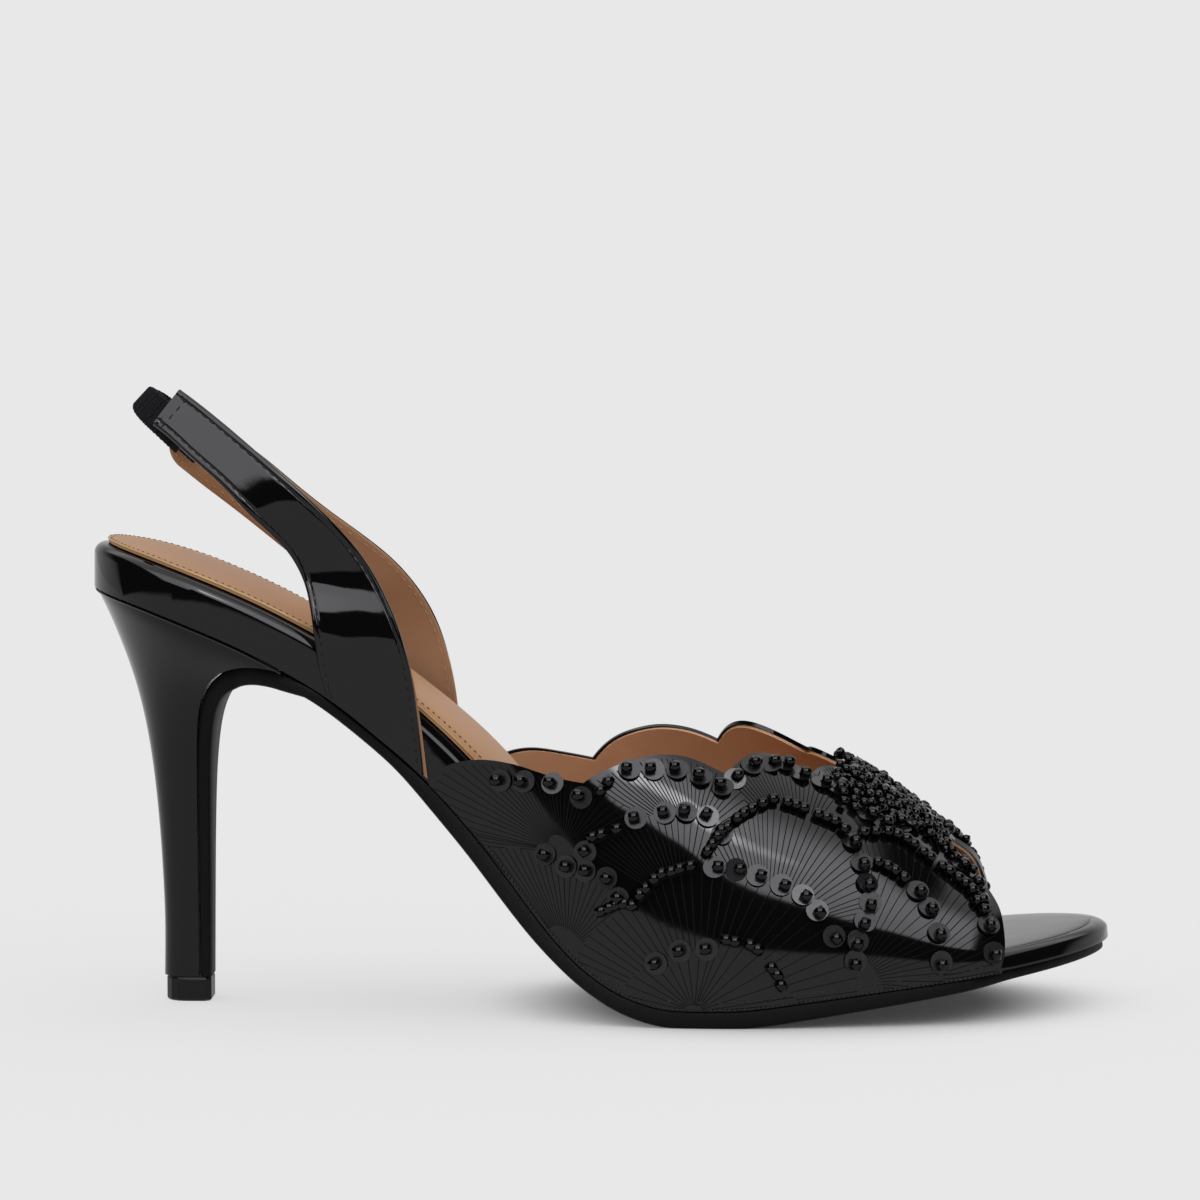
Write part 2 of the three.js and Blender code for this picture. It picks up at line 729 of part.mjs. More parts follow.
function vampColumns() {
  const columns = [];
  TOPLINE_CUSPS.slice(0, -1).forEach((cusp, i) => {
    const next = TOPLINE_CUSPS[i + 1];
    range(cusp.steps).forEach((k) => {
      const t = k / cusp.steps;
      const arc = 4 * t * (1 - t);
      columns.push({
        x: atShare(mix(cusp.along, next.along, t) + cusp.lift * arc),
        girth: mix(cusp.girth, next.girth, t) + cusp.swell * arc,
        front: mix(cusp.front, next.front, t),
      });
    });
  });
  const last = TOPLINE_CUSPS[TOPLINE_CUSPS.length - 1];
  columns.push({ x: atShare(last.along), girth: last.girth, front: last.front });
  return columns;
}

function makeVamp() {
  const grid = vampColumns().map((edge) => {
    const frontX = atShare(column(PEEP_EDGE, 'along', edge.front));
    return range(VAMP_ROWS).map((j) => {
      const t = 1 - (1 - j / (VAMP_ROWS - 1)) ** VAMP_FRONT_CROWDING;
      const x = mix(edge.x, frontX, t);
      const girth = mix(edge.girth, edge.front, t);
      const outer = vampFace(x, girth);
      const inner = outer.clone().addScaledVector(vampNormal(x, girth), -UPPER_WALL);
      return { outer, inner };
    });
  });
  const positions = [];
  ['outer', 'inner'].forEach((face) => {
    grid.forEach((cells) => cells.forEach((cell) => positions.push(...cell[face].toArray())));
  });
  const shift = grid.length * VAMP_ROWS;
  const index = [];
  const quad = (a, b, c, d) => index.push(a, b, c, a, c, d);
  range(grid.length - 1).forEach((i) => range(VAMP_ROWS - 1).forEach((j) => {
    const a = i * VAMP_ROWS + j;
    const b = a + VAMP_ROWS;
    quad(a, b, b + 1, a + 1);
    quad(a + shift, a + 1 + shift, b + 1 + shift, b + shift);
  }));
  range(grid.length - 1).forEach((i) => {
    const a = i * VAMP_ROWS;
    const b = a + VAMP_ROWS;
    const c = a + VAMP_ROWS - 1;
    const d = b + VAMP_ROWS - 1;
    quad(a, a + shift, b + shift, b);
    quad(c, d, d + shift, c + shift);
  });
  range(VAMP_ROWS - 1).forEach((j) => {
    const a = j;
    const c = (grid.length - 1) * VAMP_ROWS + j;
    quad(a, a + 1, a + 1 + shift, a + shift);
    quad(c, c + shift, c + 1 + shift, c + 1);
  });
  return outward(positions, index);
}

// Sling frame: up and back along the straps, and square to that across them
const SLING_BACK = { x: -Math.sin(radians(SLING_SLOPE)), z: Math.cos(radians(SLING_SLOPE)) };
const SLING_ACROSS = { x: Math.cos(radians(SLING_SLOPE)), z: Math.sin(radians(SLING_SLOPE)) };

function slingReach(x, z) {
  return (x - SEAT_X) * SLING_BACK.x + (z - HEEL_HEIGHT) * SLING_BACK.z;
}

function slingLevel(x, z) {
  return (x - SEAT_X) * SLING_ACROSS.x + (z - HEEL_HEIGHT) * SLING_ACROSS.z;
}

// The straps draw together by the turn angle, then the bend's arc takes over
const SLING_JOIN = SLING_BEND_REACH + SLING_BEND_RADIUS * Math.sin(radians(SLING_TURN));

function slingHalf(reach) {
  if (reach < SLING_JOIN) return column(SLING_PLAN, 'spread', reach / SLING_RISE) * SLING_SPREAD;
  return Math.sqrt(Math.max(SLING_BEND_RADIUS ** 2 - (reach - SLING_BEND_REACH) ** 2, 0));
}

// Foot of the square from a point to the sole line
function soleFoot(x, z) {
  let best = x;
  let least = Infinity;
  range(80).forEach((i) => {
    const place = x - 20 + i * 0.5;
    const distance = Math.hypot(place - x, soleZ(place) - z);
    if (distance < least) {
      least = distance;
      best = place;
    }
  });
  return best;
}

function strapPoint(x, rise, hug, side) {
  const z = soleZ(x) + STRAP_FOOT_LIFT + rise * SLING_RISE;
  const sides = footbedSides(soleFoot(x, z));
  const seated = Math.abs(side < 0 ? sides.outer : sides.inner) + CLEARANCE + STRAP_THICKNESS / 2;
  const free = slingHalf(slingReach(x, z));
  return new THREE.Vector3(x, side * mix(free, seated, hug), z);
}

// Band through stations with a rear and a front edge, thick on both sides of them
function band(edges, thickness, side) {
  const rings = edges.map((edge, i) => {
    const before = edges[Math.max(i - 1, 0)];
    const after = edges[Math.min(i + 1, edges.length - 1)];
    const run = after.rear.clone().add(after.front).sub(before.rear).sub(before.front);
    const across = edge.front.clone().sub(edge.rear);
    const out = across.clone().cross(run).normalize().multiplyScalar((side * thickness) / 2);
    const bevel = across.clone().normalize().multiplyScalar(thickness * 0.3);
    return [
      edge.rear.clone().add(bevel).add(out),
      edge.front.clone().sub(bevel).add(out),
      edge.front.clone(),
      edge.front.clone().sub(bevel).sub(out),
      edge.rear.clone().add(bevel).sub(out),
      edge.rear.clone(),
    ];
  });
  return loft(rings);
}

function makeStrap(rows, side) {
  const keyed = numbered(rows);
  const last = rows.length - 1;
  const edges = range(STRAP_STATIONS).map((i) => {
    const at = (i / (STRAP_STATIONS - 1)) * last;
    const value = (name) => column(keyed, name, at);
    return {
      front: strapPoint(atShare(value('frontX')), value('frontZ'), value('hug'), side),
      rear: strapPoint(atShare(value('rearX')), value('rearZ'), value('hug'), side),
    };
  });
  return band(edges, STRAP_THICKNESS, side);
}

// Elastic: gathered band that joins the strap ends behind the heel
function makeElastic() {
  const inset = (STRAP_THICKNESS + ELASTIC_THICKNESS) / 2 + 2 * CLEARANCE;
  const strapEnd = (rows, side) => {
    const row = rows[rows.length - 1];
    const front = strapPoint(atShare(row.frontX), row.frontZ, 0, side);
    const middle = strapPoint(atShare(row.rearX), row.rearZ, 0, side).lerp(front, 0.5);
    return { reach: slingReach(middle.x, middle.z), level: slingLevel(middle.x, middle.z), side };
  };
  const outer = strapEnd(OUTER_STRAP, -1);
  const inner = strapEnd(INNER_STRAP, 1);
  const straight = (end) => range(ELASTIC_SIDE_STATIONS).map((i) => {
    const t = i / (ELASTIC_SIDE_STATIONS - 1);
    const reach = mix(end.reach - ELASTIC_TUCK, SLING_JOIN, t);
    return [reach, end.side * slingHalf(reach)];
  });
  const bend = range(ELASTIC_BEND_STATIONS).map((i) => {
    const t = (i + 1) / (ELASTIC_BEND_STATIONS + 1);
    const angle = radians(mix(SLING_TURN - 90, 90 - SLING_TURN, t));
    return [SLING_BEND_REACH + SLING_BEND_RADIUS * Math.cos(angle), SLING_BEND_RADIUS * Math.sin(angle)];
  });
  const strapLine = [...straight(outer), ...bend, ...straight(inner).reverse()];
  const path = strapLine.map(([reach, y], i) => {
    const before = strapLine[Math.max(i - 1, 0)];
    const after = strapLine[Math.min(i + 1, strapLine.length - 1)];
    const run = Math.hypot(after[0] - before[0], after[1] - before[1]);
    return [reach - (inset * (after[1] - before[1])) / run, y + (inset * (after[0] - before[0])) / run];
  });
  const outerLevel = outer.level - ELASTIC_OUTER_DROP;
  const innerLevel = inner.level + ELASTIC_INNER_LIFT;
  const edges = path.map(([reach, y], i) => {
    const level = mix(outerLevel, innerLevel, i / (path.length - 1));
    const point = (shift) => new THREE.Vector3(
      SEAT_X + SLING_BACK.x * reach + SLING_ACROSS.x * (level + shift),
      y,
      HEEL_HEIGHT + SLING_BACK.z * reach + SLING_ACROSS.z * (level + shift),
    );
    return { front: point(ELASTIC_WIDTH / 2), rear: point(-ELASTIC_WIDTH / 2) };
  });
  return band(edges, ELASTIC_THICKNESS, 1);
}

const patent = { color: 0x0b0b0d, roughness: 0.08, metalness: 0 };
const matteBlack = { color: 0x17171a, roughness: 0.65, metalness: 0 };
const tanLeather = { color: 0xb98a66, roughness: 0.55, metalness: 0 };
const gatheredBlack = { color: 0x1c1b1f, roughness: 0.85, metalness: 0 };

function piece(name, geometry, look) {
  const mesh = new THREE.Mesh(geometry, new THREE.MeshStandardMaterial(look));
  mesh.name = name;
  return mesh;
}

const group = new THREE.Group();
group.add(
  piece('outsole', makeOutsole(), matteBlack),
  piece('heel', makeHeel(), patent),
  piece('top_piece', makeTopPiece(), matteBlack),
  piece('footbed', makeFootbed(), patent),
  piece('sock', makeSock(), tanLeather),
  piece('vamp', makeVamp(), patent),
  piece('strap_outer', makeStrap(OUTER_STRAP, -1), patent),
  piece('strap_inner', makeStrap(INNER_STRAP, 1), patent),
  piece('elastic', makeElastic(), gatheredBlack),
);

export default group;
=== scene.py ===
import math
import bmesh
import bpy
import numpy as np
from mathutils import Matrix, Vector


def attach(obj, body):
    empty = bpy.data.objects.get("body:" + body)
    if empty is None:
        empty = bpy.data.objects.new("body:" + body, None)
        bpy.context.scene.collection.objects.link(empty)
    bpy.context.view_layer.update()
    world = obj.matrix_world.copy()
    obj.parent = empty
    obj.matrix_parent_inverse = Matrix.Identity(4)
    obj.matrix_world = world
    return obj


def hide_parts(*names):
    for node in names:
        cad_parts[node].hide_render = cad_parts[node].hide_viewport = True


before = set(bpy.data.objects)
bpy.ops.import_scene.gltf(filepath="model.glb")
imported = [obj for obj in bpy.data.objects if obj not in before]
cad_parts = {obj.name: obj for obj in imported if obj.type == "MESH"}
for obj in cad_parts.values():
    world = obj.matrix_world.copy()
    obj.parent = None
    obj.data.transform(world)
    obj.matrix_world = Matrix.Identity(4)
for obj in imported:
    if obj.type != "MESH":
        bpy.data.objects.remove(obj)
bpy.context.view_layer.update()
scene = bpy.context.scene
print("frame loaded")

# All shapes are worked out in millimetres and written to the meshes in metres.
mm = 0.001

# The last and the sole, with the same named sizes as the part's source
shoe = {
    "soleLength": 218.6, "seatOverhang": 20.1, "heelHeight": 90, "toeSpring": 10.4,
    "ballWidth": 76, "outsole": 3.4, "toeInset": 1.4, "randHeight": 10, "randRadius": 3.2,
    "seatRounding": 25, "toeRounding": 34, "clearance": 0.3, "wall": 1.5, "instep": 68,
}
seatX = -shoe["seatOverhang"]
toeX = seatX + shoe["soleLength"]
treadTop = shoe["outsole"] + shoe["clearance"]

soleLine = {
    "along": [
        0, .053, .133, .182, .230, .283, .338, .384, .421, .458, .495, .536, .577, .632, .692, .761, .844, .917, 1],
    "rise": [1, .964, .886, .825, .754, .652, .528, .401, .284, .166, .078, .022, 0, 0, 0, 0, 0, 0, 0],
    "spring": [0, 0, 0, 0, 0, 0, 0, 0, 0, 0, 0, 0, 0, 0, .14, .32, .55, .77, 1],
}
footbedPlan = {  # half and middle are shares of the ball's width, height of the rand's
    "along": [0, .10, .16, .23, .30, .36, .42, .49, .57, .63, .70, .78, .85, .92, 1],
    "half": [.342, .344, .334, .311, .298, .312, .362, .434, .488, .500, .491, .464, .440, .420, .404],
    "middle": [0, 0, -.004, -.013, -.020, -.025, -.029, -.032, -.031, -.026, -.016, -.004, .008, .030, .072],
    "height": [1, .98, .96, .95, .94, .93, .82, .64, .50, .46, .44, .43, .42, .39, .38],
}
outsolePlan = {
    "along": [.18, .23, .30, .36, .42, .48, .56, .65, .78, .86, .90, 1],
    "thickness": [1, .62, .64, 1, 1.06, .88, 1.04, 1.06, .90, .72, .60, .56],
    "ledge": [0, .5, 1.1, 1.2, 1.2, 1.2, 1.2, 1.2, 1.2, 1.1, -.5, -.7],
}
lastSections = {
    "along": [.32, .37, .42, .46, .50, .55, .62, .69, .76, .80, .84, .87, .90],
    "height": [.600, .715, .860, .950, 1, 1, .900, .760, .622, .515, .397, .330, .290],
    "power": [3, 3, 2.8, 2.55, 2.35, 2.15, 2.1, 2.1, 2.1, 2.1, 2.1, 2.15, 2.2],
    "ridge": [.05, .05, .05, .05, .05, .05, .05, .04, .02, .01, 0, 0, 0],
}


def soften(line, reach):  # gaussian smoothing of evenly spaced values, with straight run-outs
    kernel = np.exp(-0.5 * (np.arange(-3 * reach, 3 * reach + 1) / reach) ** 2)
    back = line[0] + (line[1] - line[0]) * np.arange(-3 * reach, 0)
    front = line[-1] + (line[-1] - line[-2]) * np.arange(1, 3 * reach + 1)
    return np.convolve(np.concatenate([back, line, front]), kernel / kernel.sum(), "valid")


def through(table, name, soft=0.0, samples=1600):  # smooth line through one column, keyed by the first
    keys = np.array(next(iter(table.values())), float)
    values = np.array(table[name], float)
    slopes = np.diff(values) / np.diff(keys)
    tangents = np.concatenate([[slopes[0]], np.zeros(len(keys) - 2), [slopes[-1]]])
    for i in range(1, len(keys) - 1):
        before, after = slopes[i - 1], slopes[i]
        tangents[i] = 0 if before * after <= 0 else 2 * before * after / (before + after)
    at = np.linspace(keys[0], keys[-1], samples)
    i = np.clip(np.searchsorted(keys, at, side="right") - 1, 0, len(keys) - 2)
    width = keys[i + 1] - keys[i]
    t = (at - keys[i]) / width
    line = (values[i] * (1 + 2 * t) * (1 - t) ** 2 + tangents[i] * width * t * (1 - t) ** 2
            + values[i + 1] * t * t * (3 - 2 * t) - tangents[i + 1] * width * t * t * (1 - t))
    if soft:
        line = soften(line, max(int(soft / (at[1] - at[0])), 1))
    return lambda x: np.interp(x, at, line)


rise, spring = through(soleLine, "rise", .01), through(soleLine, "spring", .016)
bedHalf, bedMiddle = through(footbedPlan, "half", .016), through(footbedPlan, "middle", .016)
bedHeight = through(footbedPlan, "height", .016)
lastHeight, lastPower = through(lastSections, "height", .016), through(lastSections, "power", .016)
lastRidge = through(lastSections, "ridge", .016)
soleThick, soleLedge = through(outsolePlan, "thickness", .01), through(outsolePlan, "ledge", .008)


def along(x):
    return (x - seatX) / shoe["soleLength"]


def atShare(share):
    return seatX + np.asarray(share) * shoe["soleLength"]


def mix(a, b, t):
    return a + (b - a) * t


def rounded(distance, rounding):
    t = np.clip(distance / rounding, 0, 1)
    return np.sqrt(1 - (1 - t) ** 2)


def lengths(line):  # the way run along a line, at each of its points
    return np.concatenate([[0], np.cumsum(np.hypot(*np.diff(line, axis=0).T))])


def evenly(line, count):
    run = lengths(line)
    return np.stack([np.interp(np.linspace(0, run[-1], count), run, column) for column in line.T], -1)


def headings(line):
    ahead = np.gradient(line, axis=0)
    return ahead / np.linalg.norm(ahead, axis=1)[:, None]


def soleZ(x):
    s = along(x)
    return treadTop + rise(s) * (shoe["heelHeight"] - treadTop) + spring(s) * shoe["toeSpring"]


def soleNormal(x, step=0.5):
    slope = (soleZ(x + step) - soleZ(x - step)) / (2 * step)
    length = np.hypot(1, slope)
    return -slope / length, 1 / length


def bedUp(x):  # upright at the very back, square to the sole line further on
    normalX, normalZ = soleNormal(x)
    upright = 1 - np.clip((x - seatX) / (2 * shoe["seatRounding"]), 0, 1)
    upX, upZ = normalX * (1 - upright), mix(normalZ, 1, upright)
    length = np.hypot(upX, upZ)
    return upX / length, upZ / length


def bedSides(x, inset=0.0):
    s = along(x)
    half = np.maximum(bedHalf(s) * shoe["ballWidth"] - inset, 1)
    back = rounded(x - seatX - inset, shoe["seatRounding"] - inset)
    front = rounded(toeX - inset - x, shoe["toeRounding"] - inset)
    middle = bedMiddle(s) * shoe["ballWidth"]
    return middle - half * back * front, middle + half * back * front


def onBed(x, y, height):  # a point so high over the sole line
    upX, upZ = bedUp(x)
    return np.stack(np.broadcast_arrays(x + upX * height, y, soleZ(x) + upZ * height), -1)


def inScene(name, data):
    thing = bpy.data.objects.new(name, data)
    scene.collection.objects.link(thing)
    return thing


def shadeSmooth(piece, sharp=38):
    piece.data.shade_smooth()
    piece.data.set_sharp_from_angle(angle=math.radians(sharp))
    return piece


def settle(piece, sharp=38):  # the evaluated shape takes the place of base mesh and modifiers
    bpy.context.view_layer.update()
    shaped = bpy.data.meshes.new_from_object(piece.evaluated_get(bpy.context.evaluated_depsgraph_get()))
    piece.modifiers.clear()
    piece.data = shaped
    return shadeSmooth(piece, sharp)


def makeObject(name, points, faces, sharp=38):
    mesh = bpy.data.meshes.new(name)
    mesh.from_pydata((np.asarray(points).reshape(-1, 3) * mm).tolist(), [], faces)
    tidy = bmesh.new()
    tidy.from_mesh(mesh)
    bmesh.ops.remove_doubles(tidy, verts=tidy.verts, dist=2e-6)
    bmesh.ops.dissolve_degenerate(tidy, edges=tidy.edges, dist=1e-6)
    bmesh.ops.recalc_face_normals(tidy, faces=tidy.faces)
    tidy.to_mesh(mesh)
    tidy.free()
    return shadeSmooth(inScene(name, mesh), sharp)


def gridFaces(rows, columns, start=0, wrap=False):
    faces = []
    last = columns if wrap else columns - 1
    for i in range(rows - 1):
        for j in range(last):
            a = start + i * columns + j
            b = start + i * columns + (j + 1) % columns
            faces.append((a, b, b + columns, a + columns))
    return faces


def loft(name, rings, sharp=38):  # closed body through equal rings, fanned shut at both ends
    rings = np.asarray(rings)
    count, size = rings.shape[:2]
    faces = gridFaces(count, size, 0, True)
    faces.append(tuple(range(size)))
    faces.append(tuple(range((count - 1) * size, count * size))[::-1])
    return makeObject(name, rings, faces, sharp)


def wall(name, front, back, sharp=38):  # closed sheet between two equal grids
    rows, columns = front.shape[:2]
    shift = rows * columns
    faces = gridFaces(rows, columns) + gridFaces(rows, columns, shift)
    edge = [(0, j) for j in range(columns)] + [(i, columns - 1) for i in range(1, rows)]
    edge += [(rows - 1, j) for j in range(columns - 2, -1, -1)] + [(i, 0) for i in range(rows - 2, 0, -1)]
    at = [i * columns + j for i, j in edge]
    for a, b in zip(at, at[1:] + at[:1]):
        faces.append((a, b, b + shift, a + shift))
    return makeObject(name, np.concatenate([front.reshape(-1, 3), back.reshape(-1, 3)]), faces, sharp)


def sign(operation, turned=False):  # an operator of Wire, or its reflected form
    return lambda self, other: self.maths(operation, *((other, self) if turned else (self, other)))


# Shader maths: a socket that takes part in sums
class Wire:
    def __init__(self, board, socket):
        self.board, self.socket = board, socket

    def maths(self, operation, *values):
        return self.board.node("ShaderNodeMath", dict(enumerate(values)), operation=operation)

    __add__, __radd__ = sign("ADD"), sign("ADD", True)
    __sub__, __rsub__ = sign("SUBTRACT"), sign("SUBTRACT", True)
    __mul__, __rmul__ = sign("MULTIPLY"), sign("MULTIPLY", True)

    def ramp(self, low, high):  # 0 below low, 1 above high, smooth between
        return self.board.node("ShaderNodeMapRange", {
            "Value": self, "From Min": low, "From Max": high}, interpolation_type="SMOOTHSTEP")

    def output(self, name):  # another output of the same node
        return Wire(self.board, self.socket.node.outputs[name])


class Board:  # a node tree and the one method that adds to it
    def __init__(self, tree):
        self.tree = tree
        tree.nodes.clear()

    def node(self, kind, values=None, **settings):
        node = self.tree.nodes.new(kind)
        for key, value in settings.items():
            setattr(node, key, value)
        for key, value in (values or {}).items():
            socket = node.inputs[key]
            if isinstance(value, Wire):
                self.tree.links.new(value.socket, socket)
            elif socket.type == "RGBA":
                socket.default_value = (*value, 1)
            else:
                socket.default_value = value
        free = [socket for socket in node.outputs if socket.enabled]
        return Wire(self, free[0]) if free else None


class Finish(Board):
    def __init__(self, data):
        self.data = data
        data.use_nodes = True
        super().__init__(data.node_tree)

    def noise(self, scale, detail=2.0):
        at = self.node("ShaderNodeTexCoord").output("Object")
        return self.node("ShaderNodeTexNoise", {"Vector": at, "Scale": scale, "Detail": detail})

    def cells(self, scale):
        at = self.node("ShaderNodeTexCoord").output("Object")
        return self.node("ShaderNodeTexVoronoi", {"Vector": at, "Scale": scale})

    def bump(self, height, distance, under=None):
        values = {"Height": height, "Distance": distance, "Strength": 1.0}
        if under:
            values["Normal"] = under
        return self.node("ShaderNodeBump", values)

    def blend(self, factor, a, b):
        return self.node("ShaderNodeMix", {0: factor, 6: a, 7: b}, data_type="RGBA")

    def surface(self, values):
        shader = self.node("ShaderNodeBsdfPrincipled", values)
        self.node("ShaderNodeOutputMaterial", {"Surface": shader})
        return self.data


class Recipe(Board):  # a geometry tree with an input for each named size and for the finish
    def __init__(self, name, *sizes):
        tree = bpy.data.node_groups.new(name, "GeometryNodeTree")
        super().__init__(tree)
        tree.interface.new_socket("Geometry", in_out="OUTPUT", socket_type="NodeSocketGeometry")
        for label, kind in [("Geometry",) * 2] + [(size, "Float") for size in sizes] + [("Finish", "Material")]:
            tree.interface.new_socket(label, in_out="INPUT", socket_type="NodeSocket" + kind)
        self.given = self.node("NodeGroupInput")

    def source(self, name):
        return self.given.output(name)

    def done(self, shape):
        shape = self.node("GeometryNodeRealizeInstances", {"Geometry": shape})
        shape = self.node("GeometryNodeSetMaterial", {"Geometry": shape, "Material": self.source("Finish")})
        self.node("NodeGroupOutput", {"Geometry": shape})
        return self.tree


def grow(name, recipe, points, edges, values, sharp=40, **marks):  # runs a recipe over points and keeps the mesh
    base = bpy.data.meshes.new(name)
    base.from_pydata((np.asarray(points) * mm).tolist(), edges, [])
    for key, column in marks.items():
        column = np.asarray(column, float)
        kind = "FLOAT_VECTOR" if column.ndim == 2 else "FLOAT"
        mark = base.attributes.new(key, kind, "POINT")
        mark.data.foreach_set("vector" if column.ndim == 2 else "value", column.ravel())
    piece = inScene(name, base)
    modifier = piece.modifiers.new("recipe", "NODES")
    modifier.node_group = recipe
    for item in recipe.interface.items_tree:
        if item.in_out == "INPUT" and item.name in values:
            modifier[item.identifier] = values[item.name]
    return settle(piece, sharp)


def lineRecipe():  # thin round lines along the edges of the base
    tree = Recipe("surfaceLines", "Width")
    path = tree.node("GeometryNodeMeshToCurve", {"Mesh": tree.source("Geometry")})
    ring = tree.node("GeometryNodeCurvePrimitiveCircle", {
        "Resolution": 4, "Radius": tree.source("Width") * 0.5})
    return tree.done(tree.node("GeometryNodeCurveToMesh", {
        "Curve": path, "Profile Curve": ring, "Fill Caps": True}))


def stitchRecipe():  # short thread bars at an even pitch along each path
    tree = Recipe("stitchRow", "Pitch", "Length", "Width")
    path = tree.node("GeometryNodeMeshToCurve", {"Mesh": tree.source("Geometry")})
    path = tree.node("GeometryNodeResampleCurve", {"Curve": path, "Length": tree.source("Pitch")}, mode="LENGTH")
    turn = tree.node("FunctionNodeAlignRotationToVector", {"Vector": tree.node("GeometryNodeInputTangent")}, axis="X")
    bar = tree.node("GeometryNodeMeshUVSphere", {"Segments": 8, "Rings": 5, "Radius": 0.5})
    stretch = tree.node("ShaderNodeCombineXYZ", {
        "X": tree.source("Length"), "Y": tree.source("Width"), "Z": tree.source("Width")})
    return tree.done(tree.node("GeometryNodeInstanceOnPoints", {
        "Points": path, "Instance": bar, "Rotation": turn, "Scale": stretch}))


def ringRecipe(name, rounds):  # sequins or beads: a ring on every point, turned and sized by the point's marks
    tree = Recipe(name, "Radius", "Wall", "Height")
    wallWidth = tree.source("Wall")
    circle = tree.node("GeometryNodeCurvePrimitiveCircle", {
        "Resolution": rounds, "Radius": tree.source("Radius") - wallWidth * 0.5})
    if name == "sequinRow":
        profile = tree.node("GeometryNodeCurvePrimitiveQuadrilateral", {
            "Width": wallWidth, "Height": tree.source("Height")})
    else:
        profile = tree.node("GeometryNodeCurvePrimitiveCircle", {"Resolution": 6, "Radius": 0.5})
        stretch = tree.node("ShaderNodeCombineXYZ", {"X": wallWidth, "Y": tree.source("Height"), "Z": 1.0})
        profile = tree.node("GeometryNodeTransform", {"Geometry": profile, "Scale": stretch})
    ring = tree.node("GeometryNodeCurveToMesh", {"Curve": circle, "Profile Curve": profile})
    turn = tree.node("GeometryNodeInputNamedAttribute", {"Name": "turn"}, data_type="FLOAT_VECTOR")
    share = tree.node("GeometryNodeInputNamedAttribute", {"Name": "share"}, data_type="FLOAT")
    return tree.done(tree.node("GeometryNodeInstanceOnPoints", {
        "Points": tree.source("Geometry"), "Instance": ring, "Rotation": turn, "Scale": share}))


recipes = {
    "lines": lineRecipe(), "stitches": stitchRecipe(),
    "sequins": ringRecipe("sequinRow", 18), "beads": ringRecipe("beadRow", 9),
}


def patentFinish(name, wave=0.00012, size=80, rough=0.05, color=(0.003, 0.003, 0.0035), gloss=0.33):
    finish = Finish(bpy.data.materials.new(name))
    soft = finish.bump(finish.noise(size, 1), wave)
    fine = finish.bump(finish.noise(420, 2), 0.000006, soft)
    smear = finish.noise(60, 3)
    return finish.surface({
        "Base Color": color, "Roughness": rough * 0.7 + smear * rough * 0.6, "Specular IOR Level": gloss,
        "Specular Tint": (0.97, 0.96, 1.0), "Normal": fine})


def leatherFinish(name, color, dark, grain=1500, rough=0.5, depth=0.00003, gloss=0.35):
    finish = Finish(bpy.data.materials.new(name))
    cloud = finish.noise(55, 4)
    height = finish.cells(grain) * 0.6 + finish.noise(grain * 0.4, 3) * 0.5
    return finish.surface({
        "Base Color": finish.blend(cloud.ramp(0.3, 0.7), dark, color),
        "Roughness": rough - 0.08 + cloud * 0.16, "Specular IOR Level": gloss, "Normal": finish.bump(height, depth)})


def matteFinish(name, color, rough=0.55, grain=900, depth=0.00004, gloss=0.5):
    finish = Finish(bpy.data.materials.new(name))
    specks = finish.noise(grain, 4)
    tone = finish.blend(specks, tuple(c * 0.7 for c in color), tuple(c * 1.4 for c in color))
    return finish.surface({
        "Base Color": tone, "Roughness": rough - 0.1 + specks * 0.2, "Specular IOR Level": gloss,
        "Normal": finish.bump(specks, depth)})


finishes = {
    "patent": patentFinish("blackPatent"),
    "strapPatent": patentFinish("strapPatent", 0.00022, 75),
    "heelPatent": patentFinish("heelPatent", 0.00004, 60, 0.12, gloss=0.27),
    "vampPatent": patentFinish("vampPatent", 0.00003, 45, 0.06),
    "lining": leatherFinish("tanLining", (0.40, 0.22, 0.122), (0.35, 0.18, 0.095), gloss=0.2),
    # painted light: the vamp's lining is the same tan leather as the strap lining, painted nearly twice as bright to
    # stand in for light falling inside the vamp
    "vampLiningPaintedLight": leatherFinish("vampLiningPaintedLight", (0.72, 0.43, 0.26), (0.60, 0.34, 0.195), gloss=0.2),
    "sock": leatherFinish("tanSock", (0.50, 0.275, 0.15), (0.455, 0.25, 0.135), 1300, 0.42, gloss=0.12),
    "matte": matteFinish("matteSole", (0.003, 0.0028, 0.0028), 0.55, 900, 0.00004, 0.1),
    "tip": matteFinish("tipBlack", (0.005, 0.005, 0.0055), 0.38, 700, 0.00001, 0.2),
    "elastic": matteFinish("gatheredElastic", (0.006, 0.0055, 0.007), 0.7, 1600, 0.00006, 0.12),
    "engraved": matteFinish("engravedLine", (0.011, 0.0095, 0.009), 0.8, 2000, 0.00001, 0.0),
    "thread": matteFinish("blackThread", (0.006, 0.006, 0.006), 0.6, 3000, 0.00003, 0.3),
    "tanThread": matteFinish("tanThread", (0.42, 0.26, 0.16), 0.7, 3000, 0.00003, 0.2),
    "gold": patentFinish("goldEdge", 0.00001, 900, 0.3, (0.50, 0.32, 0.13)),
    "beads": patentFinish("glassBead", 0.00001, 300, 0.04, (0.0005, 0.0005, 0.0005), 0.26),
    "sequins": patentFinish("satinSequin", 0.00002, 500, 0.26, (0.007, 0.007, 0.0085), 0.42),
}


def dress(piece, finish, slot, *nodes):
    piece.data.materials.clear()
    piece.data.materials.append(finishes[finish])
    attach(piece, "root")
    if nodes:
        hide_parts(*nodes)
    return piece


def threads(name, recipe, paths, finish, slot, **sizes):  # wires or stitches along paths, sizes in millimetres
    points, edges = [], []
    for path in paths:
        start = len(points)
        points += [tuple(p) for p in path]
        edges += [(start + i, start + i + 1) for i in range(len(path) - 1)]
    values = {key: size * mm for key, size in sizes.items()}
    values["Finish"] = finishes[finish]
    return dress(grow(name, recipes[recipe], points, edges, values), finish, slot)


